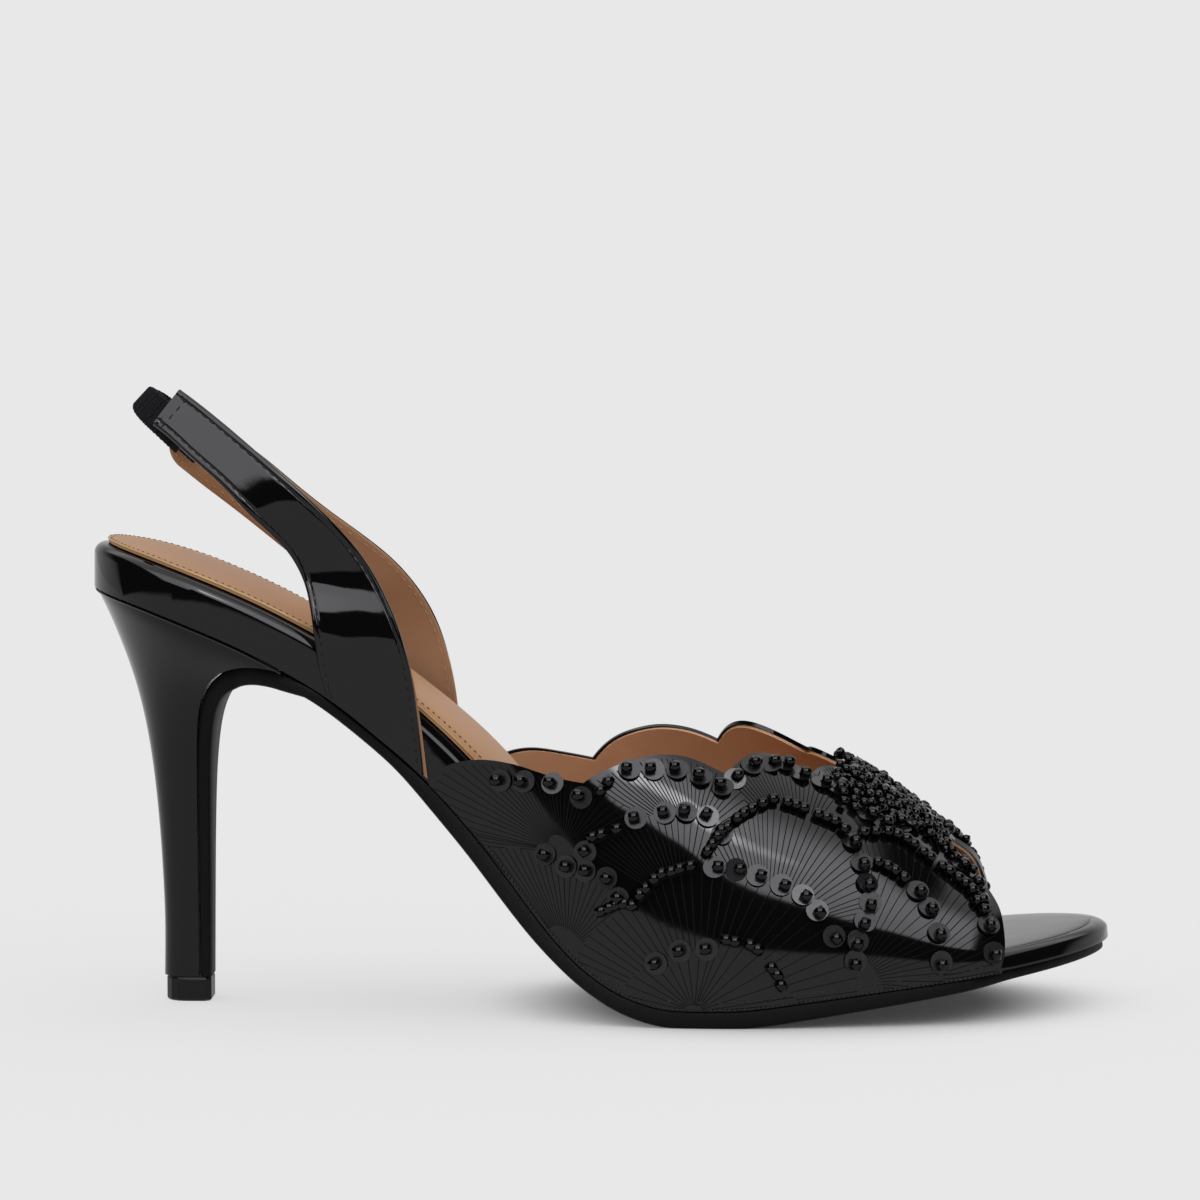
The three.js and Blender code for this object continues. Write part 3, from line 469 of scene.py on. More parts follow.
# Camera at the photo's angle, with the shoe as large in the frame
view = {"target": (88.8, 0, 86.7), "place": (132.3, -1245.7, 181.25), "lens": 174.42}
cameraData = bpy.data.cameras.new("camera")
cameraData.lens = view["lens"]
cameraData.sensor_width = 36
cameraData.clip_end = 100
camera = inScene("camera", cameraData)
camera.location = Vector(view["place"]) * mm
aim = Vector(view["target"]) * mm - camera.location
camera.rotation_euler = aim.to_track_quat("-Z", "Y").to_euler()
scene.camera = camera

# Floor and studio light
studio = {
    "background": 0.807, "floor": 0.81, "floorSize": 60, "fadeFrom": 0.5, "fadeTo": 2.5,
    # glow, glowAt, glowFrom, glowTo: painted light, the floor's emission share that lifts the shoe's cast shadow
    # except near glowAt under the forefoot
    "glow": (0.04, 0.72), "glowAt": (0.131, 0, 0), "glowFrom": 0.038, "glowTo": 0.072,
    "around": 0.43, "above": 0.87, "dim": 0.012, "behind": 0.62,
    "pale": 0.80, "paleTo": 10, "sideTurn": -31, "sideTo": 14,  # angles are in degrees
    "box": 3.5, "boxFrom": 38, "boxDrop": 14, "boxLean": 0.45, "boxTo": 60, "boxFade": 0.6,
    "boxLeft": -0.58, "boxRight": 0.53, "lamp": 12, "lampGlow": 1.2, "lampAt": (0.24, -0.60, 0.76),
}


def makeFloor():
    reach = studio["floorSize"]
    mesh = bpy.data.meshes.new("floor")
    corners = [(x * reach, y * reach, 0) for x, y in ((-1, -1), (1, -1), (1, 1), (-1, 1))]
    mesh.from_pydata(corners, [], [(0, 1, 2, 3)])
    floor = inScene("floor", mesh)
    finish = Finish(bpy.data.materials.new("floorPaper"))
    at = finish.node("ShaderNodeTexCoord").output("Object")
    away = finish.node("ShaderNodeVectorMath", {0: at}, operation="LENGTH").output("Value")
    close = finish.node("ShaderNodeVectorMath", {0: at, 1: studio["glowAt"]}, operation="DISTANCE").output("Value")
    paper = finish.node("ShaderNodeBsdfDiffuse", {"Color": (studio["floor"],) * 3})
    glow = finish.node("ShaderNodeEmission", {"Color": (1, 1, 1), "Strength": studio["background"]})
    # Painted light: the floor glows as well as reflecting. The glow is small near glowAt, so the cast shadow under
    # the forefoot stays dark, and larger further off, where it lifts the shadow.
    low, high = studio["glow"]
    share = low + close.ramp(studio["glowFrom"], studio["glowTo"]) * (high - low)
    share = share + away.ramp(studio["fadeFrom"], studio["fadeTo"]) * (1 - share)
    mixed = finish.node("ShaderNodeMixShader", {0: share, 1: paper, 2: glow})
    finish.node("ShaderNodeOutputMaterial", {"Surface": mixed})
    mesh.materials.append(finish.data)


def makeWorld():
    sky = Finish(bpy.data.worlds.new("studioSky"))
    at = sky.node("ShaderNodeTexCoord").output("Generated")
    parts = sky.node("ShaderNodeSeparateXYZ", {"Vector": at})
    x, y, z = parts.output("X"), parts.output("Y"), parts.output("Z")
    over = z.maths("ARCTAN2", z, y * -1) * (180 / math.pi)  # 0 at the camera's side, 90 overhead, 180 behind
    turn = x.maths("ARCTAN2", x, y * -1) * (180 / math.pi)
    lean = turn.maths("MINIMUM", turn.maths("MAXIMUM", turn, 0.0), 25.0)
    edge = studio["boxFrom"] - (1 - turn.ramp(-12, 1)) * studio["boxDrop"] - lean * studio["boxLean"]
    box = (over - edge).ramp(-1, 1.5) * x.ramp(studio["boxLeft"] - 0.05, studio["boxLeft"] + 0.05)
    box = box * (1 - x.ramp(studio["boxRight"] - 0.04, studio["boxRight"] + 0.04)) * (1 - over.ramp(130, 150))
    box = box * (1 - over.ramp(studio["boxTo"], studio["boxTo"] + 22) * studio["boxFade"])
    panel = (1 - turn.ramp(studio["sideTurn"] - 1.5, studio["sideTurn"] + 1.5)) * (
        1 - over.ramp(studio["sideTo"] - 4, studio["sideTo"]))
    low = 1 - over.ramp(studio["paleTo"] - 0.8, studio["paleTo"] + 0.8)
    pale = low.maths("MAXIMUM", low, panel)
    near = sky.node("ShaderNodeVectorMath", {0: at, 1: studio["lampAt"]}, operation="DISTANCE").output("Value")
    lamp = (1 - near.ramp(0.05, 0.10)) * studio["lamp"] + (1 - near.ramp(0.1, 0.45)) * studio["lampGlow"]
    glossed = pale * studio["pale"] + box * (studio["box"] + lamp) + studio["dim"]
    glossed = glossed + over.ramp(120, 165) * studio["behind"]
    soft = studio["around"] + z.ramp(0.1, 1.0) * studio["above"]
    path = sky.node("ShaderNodeLightPath")
    seen, glossy = path.output("Is Camera Ray"), path.output("Is Glossy Ray")
    strength = seen * studio["background"] + glossy * glossed + (1 - seen - glossy) * soft
    shade = sky.node("ShaderNodeBackground", {"Color": (1, 1, 1), "Strength": strength})
    sky.node("ShaderNodeOutputWorld", {"Surface": shade})
    sky.data.cycles.sampling_method = "NONE"
    return sky.data


makeFloor()
scene.world = makeWorld()
scene.cycles.use_denoising = True
scene.view_settings.view_transform = "Standard"
print("camera, floor and light ready")

# Footbed: board wrapped in patent, the rand round seat and waist
footbed = {"stations": 170, "crown": 0.5, "across": 24}


def edgeProfile(radius, height, bevel=0.5, turns=7):
    angles = np.radians(np.linspace(0, 90, turns))
    arc = [(radius * (1 - math.cos(a)), height - radius + radius * math.sin(a)) for a in angles]
    return [(bevel, 0), (0, bevel)] + arc


def padBody(name, baseInset, startX, endX, levels, count, across, crown, openFront=False):
    # levels are (inset, height over the sole line as a function of x), from the bottom to the top edge
    u = np.linspace(0, 1, count)
    crowd = (1 - np.cos(np.pi * u * (0.5 if openFront else 1))) / (1 if openFront else 2)
    rings, tops = [], []
    for inset, height in levels:
        x = mix(startX + inset, endX - (0 if openFront else inset), crowd)
        outer, inner = bedSides(x, baseInset + inset)
        tall = height(x)
        rings.append(np.concatenate([onBed(x, outer, tall), onBed(x, inner, tall)[::-1]]))
        tops.append((x, outer, inner, tall))
    points = np.array(rings)
    faces = gridFaces(len(levels), 2 * count, 0, True)
    start = points.shape[0] * points.shape[1]
    caps = []
    for level, dome in ((tops[0], None), (tops[-1], crown)):
        x, outer, inner, tall = level
        share = np.linspace(0, 1, across)
        share = (1 - np.cos(np.pi * share)) / 2
        extra = 0 if dome is None else dome(x)[:, None] * (1 - np.abs(2 * share - 1) ** 2.6) ** 0.5
        y = outer[:, None] + (inner - outer)[:, None] * share
        caps.append(onBed(x[:, None] + y * 0, y, tall[:, None] + extra))
        faces += gridFaces(count, across, start)
        start += count * across
    cloud = np.concatenate([points.reshape(-1, 3)] + [cap.reshape(-1, 3) for cap in caps])
    return makeObject(name, cloud, faces)


def bedTall(x):
    return bedHeight(along(x)) * shoe["randHeight"]


def makeFootbed():
    levels = []
    for inset, share in edgeProfile(1, 1, 0.14, 9):
        rounding = lambda x: np.minimum(shoe["randRadius"], bedTall(x) * (0.8 - 0.28 * np.clip((x - 140) / 25, 0, 1)))
        top = lambda x, s=share: bedTall(x) - rounding(x) * (1 - s) if s > 0.15 else x * 0 + 3.2 * s
        levels.append((inset * shoe["randRadius"], top))
    crown = lambda x: footbed["crown"] * np.clip((x - 150) / 30, 0, 1)
    body = padBody("footbedRand", 0, seatX, toeX, levels, footbed["stations"], footbed["across"], crown)
    return dress(body, "patent", "rand_patent", "footbed")


makeFootbed()

# Sock: padded tan insole with a gilded rim line
sock = {"inset": 3, "seam": 0.9, "edge": 0.9, "pad": 3.7, "endX": 150, "stations": 120, "across": 40}
sockPad = {
    "along": [0, .06, .13, .21, .28, .36, .43, .52, .66, .80],
    "pad": [.10, .12, .12, .16, .42, .78, .82, .60, .42, .30],
}
padOf = through(sockPad, "pad", .016)


def makeSock():
    base = lambda x: bedTall(x) + shoe["clearance"]
    levels = [(0, base), (0, lambda x: base(x) + sock["edge"] * 0.75),
              (0.25, lambda x: base(x) + sock["edge"])]
    back = lambda x: rounded(x - seatX - sock["inset"], shoe["seatRounding"])
    crown = lambda x: padOf(along(x)) * sock["pad"] * back(x)
    body = padBody("sockPad", sock["inset"], seatX + sock["inset"], sock["endX"], levels,
                   sock["stations"], sock["across"], crown, openFront=True)
    dress(body, "sock", "sock_leather", "sock")
    lines = []
    for inset, down in ((0, 0.2), (sock["seam"], -0.02)):
        crowd = 1 - np.cos(np.linspace(0, math.pi / 2, 60))
        x = seatX + sock["inset"] + inset + crowd * (sock["endX"] - seatX - 8)
        outer, inner = bedSides(x, sock["inset"])
        share = inset / (inner - outer)
        top = base(x) + sock["edge"] + crown(x) * (1 - np.abs(2 * share - 1) ** 2.6) ** 0.5 - down
        sides = [onBed(x, y, top) for y in (outer + inset, inner - inset)]
        lines.append(np.concatenate([sides[0][::-1], sides[1]]))
    threads("sockGold", "lines", lines[:1], "gold", "sock_leather", Width=0.5)
    threads("sockSeam", "stitches", lines[1:], "thread", "sock_leather", Pitch=1.5, Length=0.8, Width=0.2)


makeSock()
print("footbed and sock ready")

# Outsole: tread, waist and the flap down the heel's breast
breast = {  # forward is a share of the tip's length, up of the heel's height, thickness of the flap's
    "forward": [.270, .265, .260, .270, .310, .400, .620, 1.020, 1.500],
    "up": [.060, .200, .400, .560, .665, .742, .791, .818, .823],
    "thickness": [.90, .95, 1.00, 1.05, 1.15, 1.35, 1.55, 1.60, 1.45],
}
heel = {"tipLength": 10, "tipHeight": 5.1, "flap": 2.7, "setback": 0.2}
heelRows = {
    "row": list(range(12)),
    "back": [.272, .265, .285, .315, .365, .430, .517, .622, .752, .862, .970, 1.005],
    "up": [.060, .180, .300, .410, .530, .635, .728, .808, .886, .945, .997, 1.040],
    "half": [.184, .187, .200, .225, .275, .365, .490, .635, .795, .905, .965, .975],
    "tilt": [0, 0, 0, 0, 0, 3, 7, 11, 16, 19, 21, 21],
    "reach": [.70, .70, .72, .75, .82, .98, 1.22, 1.50, 1.85, 2.05, 2.20, 2.20],
}
heelRows["up"][0] = (heel["tipHeight"] + shoe["clearance"]) / shoe["heelHeight"]
seatHalf = float(bedHalf(0.1)) * shoe["ballWidth"]


def smoothPath(points, count, reach=6):  # rounded line through points, evenly spaced
    points = np.array(points, float)
    chord = np.concatenate([[0], np.cumsum(np.hypot(*np.diff(points, axis=0).T) ** 0.5)])
    t = np.linspace(0, chord[-1], 4000)
    line = np.stack([through({"at": chord, "value": column}, "value")(t) for column in points.T], -1)
    return np.stack([soften(column, reach) for column in evenly(line, count).T], -1)


def underSole(x, gap):
    normalX, normalZ = soleNormal(x)
    return np.stack([x - normalX * gap, soleZ(x) - normalZ * gap], -1)


def flapPath(count):
    rows = [(f * heel["tipLength"], u * shoe["heelHeight"]) for f, u in zip(breast["forward"], breast["up"])]
    rows[0] = (rows[0][0], heel["tipHeight"] + shoe["clearance"])
    join = underSole(atShare([.196, .222]), shoe["clearance"])
    return smoothPath(rows + [tuple(p) for p in join], count)


def soleRing(x, z, upX, upZ, thick, outer, inner):
    bevel = min(0.7, thick * 0.3, (inner - outer) * 0.2)
    middle = (outer + inner) / 2
    depths = [(outer + bevel * 0.3, 0), (outer, bevel * 0.6), (outer, thick - bevel),
              (outer + bevel * 0.4, thick - bevel * 0.4), (outer + bevel * 1.4, thick), (middle, thick),
              (inner - bevel * 1.4, thick), (inner - bevel * 0.4, thick - bevel * 0.4), (inner, thick - bevel),
              (inner, bevel * 0.6), (inner - bevel * 0.3, 0), (middle, 0)]
    return [(x - upX * depth, y, z - upZ * depth) for y, depth in depths]


def makeOutsole():
    rings = []
    path = flapPath(120)
    tangent = headings(path)
    keyed = {"up": breast["up"], "thickness": breast["thickness"]}
    flapThick = through(keyed, "thickness", .01)
    heelHalf = through({"up": heelRows["up"], "half": heelRows["half"]}, "half", .008)
    joinX = float(atShare(.196))
    for (x, z), (tx, tz) in list(zip(path, tangent))[:112]:
        forward = np.clip((x - heel["tipLength"]) / (joinX - heel["tipLength"]), 0, 1)
        thick = mix(flapThick(z / shoe["heelHeight"]) * heel["flap"], shoe["outsole"], forward)
        half = mix(heelHalf(z / shoe["heelHeight"]) * seatHalf - heel["setback"], float(bedSides(x)[1]), forward)
        rings.append(soleRing(x, z, -tz, tx, thick, -half, half))
    tip = toeX - shoe["toeInset"]
    start = float(atShare(.222))
    straight = np.linspace(start, tip - shoe["toeRounding"], 150)
    turn = tip - shoe["toeRounding"] + shoe["toeRounding"] * np.sin(np.radians(np.linspace(2, 89.2, 46)))
    for x in np.concatenate([straight, turn]):
        outer, inner = (float(v) for v in bedSides(x))
        bedRound = max(float(rounded(toeX - x, shoe["toeRounding"])), 0.01)
        taper = float(rounded(tip - x, shoe["toeRounding"])) / bedRound
        half = ((inner - outer) / 2 + float(soleLedge(along(x))) * shoe["wall"]) * taper
        middle = (outer + inner) / 2
        upX, upZ = (float(v) for v in soleNormal(x))
        px, pz = underSole(x, shoe["clearance"])
        thick = float(soleThick(along(x))) * shoe["outsole"]
        rings.append(soleRing(px, pz, upX, upZ, thick, middle - half, middle + half))
    rings = np.array(rings)
    rings[:, :, 2] = np.maximum(rings[:, :, 2], 0)
    return dress(loft("outsole", rings, 32), "matte", "sole_matte", "outsole")


makeOutsole()

# Heel: slim block wrapped in patent, cut by the seat above and the flap in front


def heelRing(at):
    value = {name: float(through(heelRows, name, 0.35)(at)) for name in heelRows}
    half, reach = value["half"] * seatHalf, value["reach"] * shoe["seatOverhang"]
    tilt = math.radians(value["tilt"])
    turn = min(half * 1.02, reach * 0.6)
    angles = np.radians(np.linspace(0, 90, 26)[1:])
    side = [(turn * (1 - math.cos(a)), half * math.sin(a)) for a in angles]
    side += [(mix(turn, reach, s), half) for s in (0.25, 0.5, 0.75, 1)]
    line = [(p, -y) for p, y in side[::-1]] + [(0, 0)] + side
    back, up = -value["back"] * shoe["seatOverhang"], value["up"] * shoe["heelHeight"]
    return [(back + p * math.cos(tilt), y, up - p * math.sin(tilt)) for p, y in line]


def prism(name, outline, half):
    count = len(outline)
    points = [(x, -half, z) for x, z in outline] + [(x, half, z) for x, z in outline]
    faces = [tuple(range(count)), tuple(range(2 * count - 1, count - 1, -1))]
    faces += [(i, (i + 1) % count, (i + 1) % count + count, i + count) for i in range(count)]
    return makeObject(name, points, faces)


def cut(piece, *cutters):
    for cutter in cutters:
        boolean = piece.modifiers.new("cut", "BOOLEAN")
        boolean.operation, boolean.object, boolean.solver = "DIFFERENCE", cutter, "EXACT"
    settle(piece)
    for cutter in cutters:
        bpy.data.objects.remove(cutter)
    return piece


def makeHeel():
    blank = loft("heelBlock", [heelRing(at) for at in np.linspace(0, 11, 90)])
    xs = np.linspace(1.4 * seatX, atShare(.26), 70)
    seat = [tuple(p) for p in underSole(xs, shoe["clearance"])] + [(xs[-1], 120), (xs[0], 120)]
    path = flapPath(120)
    tangent = headings(path)
    line = path + np.stack([-tangent[:, 1], tangent[:, 0]], -1) * shoe["clearance"]
    front = float(atShare(.4))
    under = -heel["tipHeight"]
    outline = [(line[0][0], under)] + [tuple(p) for p in line] + [(front, line[-1][1]), (front, under)]
    body = cut(blank, prism("seatCut", seat, 76), prism("breastCut", outline, 76))
    return dress(body, "heelPatent", "heel_patent", "heel")


makeHeel()
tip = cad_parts["top_piece"]
tip.data.materials.clear()
tip.data.materials.append(finishes["tip"])
print("outsole and heel ready")

# Vamp: patent shell with a scalloped topline over a tan lining, painted brighter than the strap lining to stand in
# for light inside the vamp
vamp = {"across": 4, "rows": 84, "crowding": 1.2, "patent": 0.85, "gap": 0.05}
cusps = [  # along, girth, front girth, swell, lift and steps of each scallop
    (.337, 0, 0, 1.5, .000, 10), (.487, 31, 30, 7.5, .000, 10), (.625, 51, 50, 8, -.004, 8),
    (.706, 65, 66, 4, -.004, 4), (.748, 79, 79, 0, -.012, 4), (.746, 98, 98, -4, -.008, 4),
    (.702, 106, 112, -9.5, -.006, 7), (.612, 126, 130, -6.2, -.008, 10), (.486, 150, 150, -3, 0, 9),
    (.366, 180, 180, 0, 0, 0),
]
peepEdge = {
    "girth": [0, 12, 32, 52, 62, 72, 82, 92, 102, 115, 135, 158, 180],
    "along": [.888, .893, .890, .875, .861, .843, .833, .837, .853, .868, .879, .886, .883],
}
peepLine = through(peepEdge, "along", 3)


def lastPoint(x, girth, out=0.0):
    x, girth = np.broadcast_arrays(np.asarray(x, float), np.asarray(girth, float))
    s, angle = along(x), np.radians(np.clip(girth, 0, 180))
    power = 2 / lastPower(s)
    outer, inner = bedSides(x)
    reach = shoe["clearance"] + shoe["wall"]
    side = np.where(girth < 90, outer - reach, inner + reach)
    ridge = lastRidge(s) * shoe["ballWidth"]
    y = mix(ridge, side, np.abs(np.cos(angle)) ** power)
    z = soleZ(x) + lastHeight(s) * shoe["instep"] * np.abs(np.sin(angle)) ** power
    point = np.stack([x, y, z], -1)
    if np.any(out):
        point = point + lastNormal(x, girth) * out
    return point


def lastNormal(x, girth):
    low, high = np.clip(girth - 0.5, 0, 180), np.clip(girth + 0.5, 0, 180)
    around = lastPoint(x, high) - lastPoint(x, low)
    ahead = lastPoint(x + 0.3, girth) - lastPoint(x - 0.3, girth)
    normal = np.cross(ahead, around)
    return normal / np.linalg.norm(normal, axis=-1, keepdims=True)


def toplineColumns(fine):
    columns = []
    for a, b in zip(cusps, cusps[1:]):
        count = a[5] * fine
        t = np.arange(count) / count
        arc = 4 * t * (1 - t)
        columns.append(np.stack([atShare(mix(a[0], b[0], t) + a[4] * arc),
                                 mix(a[1], b[1], t) + a[3] * arc, mix(a[2], b[2], t)], -1))
    last = cusps[-1]
    columns.append(np.array([[float(atShare(last[0])), last[1], last[2]]]))
    return np.concatenate(columns)


def vampGrid(fine, rows, topInset=0.0, frontInset=0.0):
    columns = toplineColumns(fine)
    t = 1 - (1 - np.linspace(0, 1, rows)) ** vamp["crowding"]
    frontX = atShare(peepLine(columns[:, 2]))
    length = frontX - columns[:, 0]
    t = topInset / length[:, None] + t * (1 - (topInset + frontInset) / length[:, None])
    x = mix(columns[:, 0:1], frontX[:, None], t)
    girth = mix(columns[:, 1:2], columns[:, 2:3], t)
    return x, girth


def makeVamp():
    x, girth = vampGrid(vamp["across"], vamp["rows"])
    outer, inner = lastPoint(x, girth), lastPoint(x, girth, -vamp["patent"])
    shell = wall("vampShell", outer, inner)
    dress(shell, "vampPatent", "vamp_patent", "vamp")
    x, girth = vampGrid(2, 44, 0.5, 0.6)
    face = lastPoint(x, girth, -vamp["patent"] - vamp["gap"])
    lining = wall("vampLiningPaintedLight", face, lastPoint(x, girth, -shoe["wall"]))
    # the lining wears the brightened copy of the tan leather: painted light inside the vamp
    dress(lining, "vampLiningPaintedLight", "vamp_patent")
    return shell


makeVamp()
print("vamp ready")

# Places on the vamp are given flat: millimetres along the shoe, and down from its ridge to the outer side
flatX = np.linspace(38, 188, 151)
flatGirth = np.linspace(0, 180, 361)
flatGrid = lastPoint(flatX[:, None], flatGirth[None])
flatLength = np.concatenate([np.zeros((len(flatX), 1)), np.cumsum(
    np.linalg.norm(np.diff(flatGrid, axis=1), axis=2), axis=1)], axis=1)
flatLength = flatLength[:, 180:181] - flatLength


def flatRow(x, grid=flatLength):
    i = np.clip((x - flatX[0]) / (flatX[1] - flatX[0]), 0, len(flatX) - 1.001)
    return mix(grid[int(i)], grid[int(i) + 1], i - int(i))


def girthOf(x, down):
    return float(np.interp(-down, -flatRow(x), flatGirth))


def downOf(x, girth):
    return float(np.interp(girth, flatGirth, flatRow(x)))


def mirrored(flat):  # the same places on the inner side, which is a little shorter
    out = []
    for x, down in flat:
        row = flatRow(x)
        out.append((x, down * row[-1] / row[0]))
    return out


def sideLine(apex, end, run):  # a line that is straight as seen from the side
    outer = lambda x: (flatRow(x)[180::-1], flatRow(x, flatGrid[..., 2])[180::-1])  # down, height
    heights = [np.interp(down, *outer(x)) for x, down in (apex, end)]
    x, z = mix(apex[0], end[0], run), mix(*heights, run)
    down = []
    for a, b in zip(x, z):
        row, height = outer(a)
        down.append(np.interp(-b, -height, row))
    return np.stack([x, down], -1)


def stand(flat):  # the points on the vamp's face and its normals there
    x = np.array([p[0] for p in flat], float)
    girth = np.array([girthOf(*p) for p in flat])
    return lastPoint(x, girth), lastNormal(x, girth)


def onVamp(flat, out=0.0):
    foot, normal = stand(flat)
    return foot + normal * out


def inside(points, outline):
    points, outline = np.asarray(points, float), np.asarray(outline, float)
    x, y = points[:, 0:1], points[:, 1:2]
    ax, ay = outline[:, 0], outline[:, 1]
    bx, by = np.roll(ax, -1), np.roll(ay, -1)
    crossing = ((ay > y) != (by > y)) & (x < (bx - ax) * (y - ay) / np.where(by == ay, 1e-9, by - ay) + ax)
    return crossing.sum(axis=1) % 2 == 1


def distance(points, line):
    points, line = np.asarray(points, float)[:, None], np.asarray(line, float)
    a, b = line[None, :-1], line[None, 1:]
    t = np.clip(((points - a) * (b - a)).sum(-1) / np.maximum(((b - a) ** 2).sum(-1), 1e-9), 0, 1)
    return np.linalg.norm(points - a - (b - a) * t[..., None], axis=-1).min(axis=1)


def spaced(line, pitch):  # places at an even pitch along a soft line through given points
    line = np.asarray(line, float)
    at = lengths(line)
    t = np.linspace(0, at[-1], 400)
    fine = np.stack([through({"at": at, "value": column}, "value", samples=400)(t) for column in line.T], -1)
    return evenly(fine, max(int(round(lengths(fine)[-1] / pitch)), 1) + 1)


def vampOutline():
    x, girth = vampGrid(2, 40)
    flat = lambda xs, girths: [(a, downOf(a, b)) for a, b in zip(xs, girths)]
    top, front = flat(x[:, 0], girth[:, 0]), flat(x[:, -1], girth[:, -1])
    inner, outer = flat(x[-1], girth[-1]), flat(x[0, ::-1], girth[0, ::-1])
    return top, front, top + inner + front[::-1] + outer


topLine, frontLine, vampShape = vampOutline()

# Fans of engraved lines. Each lies over those before it, as scales do, and its rim carries sequins.
engraving = {"width": 0.3, "sink": 0.07, "rim": 0.8, "clear": 3, "fine": 0.25, "keep": 5, "least": 6}
fans = {
    "throat": {"apex": (147, 31), "pitch": 1.3, "rim": [(134, 18), (137, 12), (141, 8), (146, 6)]},
    "third": {"apex": (132, 42.7), "pitch": 1.5, "rim": [
        (115, 34), (117.5, 27), (122, 20), (129, 15.5), (136, 15.5), (141, 19)]},
    "first": {"apex": (82, 66), "wall": True, "pitch": 1.65, "reach": 1.9, "rim": [
        (67, 78), (63, 71.5), (61.7, 65), (63.5, 58), (67.5, 52), (73, 48), (80, 46), (88, 46.5), (96, 49),
        (101, 55)]},
    "second": {"apex": (109.5, 52.1), "pitch": 1.65, "rim": [
        (86.5, 48.4), (89, 41), (95, 35.5), (103, 31.5), (110, 29.5), (117, 31.5), (121, 38)]},
    "row2": {"apex": (107.5, 67.2), "wall": True, "pitch": 1.7, "rim": [
        (87, 63), (88.5, 60), (93.5, 55.8), (97.5, 51.7), (103.5, 48.4), (108, 46.3), (112.5, 45.1), (118, 49)]},
    "heelward": {"apex": (83, 86.3), "wall": True, "clear": 4.5, "pitch": 1.6, "rim": [
        (64, 73.5), (72, 70.5), (78.5, 68.5), (83, 67.8), (87, 67.7), (91.5, 67), (95, 68.6), (98, 72)]},
    "front": {"apex": (153.5, 55.8), "pitch": 1.85, "rim": [
        (143, 33), (145, 30.2), (150, 25.8), (154, 23.9), (161.5, 23.5), (168, 25), (173, 30), (176, 38), (176, 46)]},
    "peep": {"apex": (142.5, 65.1), "clear": 8, "pitch": 1.75, "rim": [
        (144, 36), (150, 34.8), (156.5, 35), (159, 36.9), (161, 39.3), (161.8, 44.8), (162, 52), (158, 60)]},
    "middle": {"apex": (125, 64.6), "pitch": 1.75, "rim": [
        (111, 56), (112.5, 53), (114.5, 48.7), (118.5, 42.6), (121.5, 38.7), (126, 33.6), (132.5, 32),
        (139, 31.3), (143, 33.4), (146, 39.3), (147, 42.8), (145.5, 47.9), (144, 54), (143.5, 60)]},
    "ball": {"apex": (111, 101), "wall": True, "pitch": 2.7, "rim": [
        (84, 88), (89, 79), (94, 72.5), (98.5, 67.6), (101.5, 63.3), (109, 57.7), (118.5, 53.7), (128, 52),
        (135.5, 51.6), (140, 53.4), (143.5, 60), (144.5, 68)]},
    "low": {"apex": (110, 103), "wall": True, "pitch": 2.9, "rim": [
        (94, 90), (97, 85), (102, 80.6), (107, 76.2), (112.5, 73.4), (116.5, 69.5), (121.5, 68), (126, 70.4),
        (133, 76)]},
}


def makeFans():
    paths = []
    covers = [[fan["apex"]] + list(fan["rim"]) for fan in fans.values()]
    for side in (1, -1):
        outlines = [cover if side == 1 else mirrored(cover) for cover in covers]
        for index, fan in enumerate(fans.values()):
            apex = np.array(fan["apex"])
            for end in spaced(fan["rim"], fan["pitch"]):
                away = end - apex
                length = np.hypot(*away)
                clear = fan.get("clear", engraving["clear"])
                run = np.arange(clear, length * fan.get("reach", 1), engraving["fine"])
                flat = apex + away / length * run[:, None]
                if fan.get("wall"):
                    flat = sideLine(apex, end, run / length)
                if side == -1:
                    flat = np.array(mirrored(flat))
                shown = inside(flat, vampShape) & (flat[:, 1] * side > -1)
                shown &= (distance(flat, topLine) > engraving["rim"]) & (distance(flat, frontLine) > engraving["rim"])
                for outline in outlines[index + 1:]:
                    shown &= ~inside(flat, outline)
                marks = np.flatnonzero(np.diff(np.concatenate([[0], shown.astype(int), [0]])))
                for first, last in zip(marks[::2], marks[1::2]):
                    if last - first >= engraving["least"]:
                        keep = sorted(set(range(first, last, engraving["keep"])) | {last - 1})
                        paths.append(onVamp(flat[keep], -engraving["sink"]))
    threads("fanLines", "lines", paths, "engraved", "vamp_patent", Width=engraving["width"])


makeFans()
print("fan lines ready")

# Sequins sewn down with beads along the fans, and a field of beads over the ridge
trim = {  # angles are in degrees, the other measures in millimetres
    "sequins": {"Radius": 2.4, "Wall": 1.8, "Height": 0.2}, "beads": {"Radius": 1.3, "Wall": 0.95, "Height": 2.5},
    "sequinRise": 0.55, "sequinLean": -6, "sewnRise": 1.5, "bareRise": 1.1, "tilt": 7, "seed": 7,
    "second": 1.9, "secondOver": 3.3, "room": 1.9, "small": 0.78,
}
field = {  # where the beads lie thick, on top of the vamp
    "x": [140, 146.5, 152, 156.5, 160.5, 166, 170], "down": [25, 25, 20, 17, 16.5, 19, 21],
    "from": 139.5, "to": 169, "innerShare": 0.95, "offTop": 1.1, "offFront": 1.2, "tries": 4000,
    "way": [1, 0, -0.6], "stray": 0.7, "rise": (0.9, 1.6), "tilt": 12, "sequinTilt": 9, "sequins": 0.1,
}
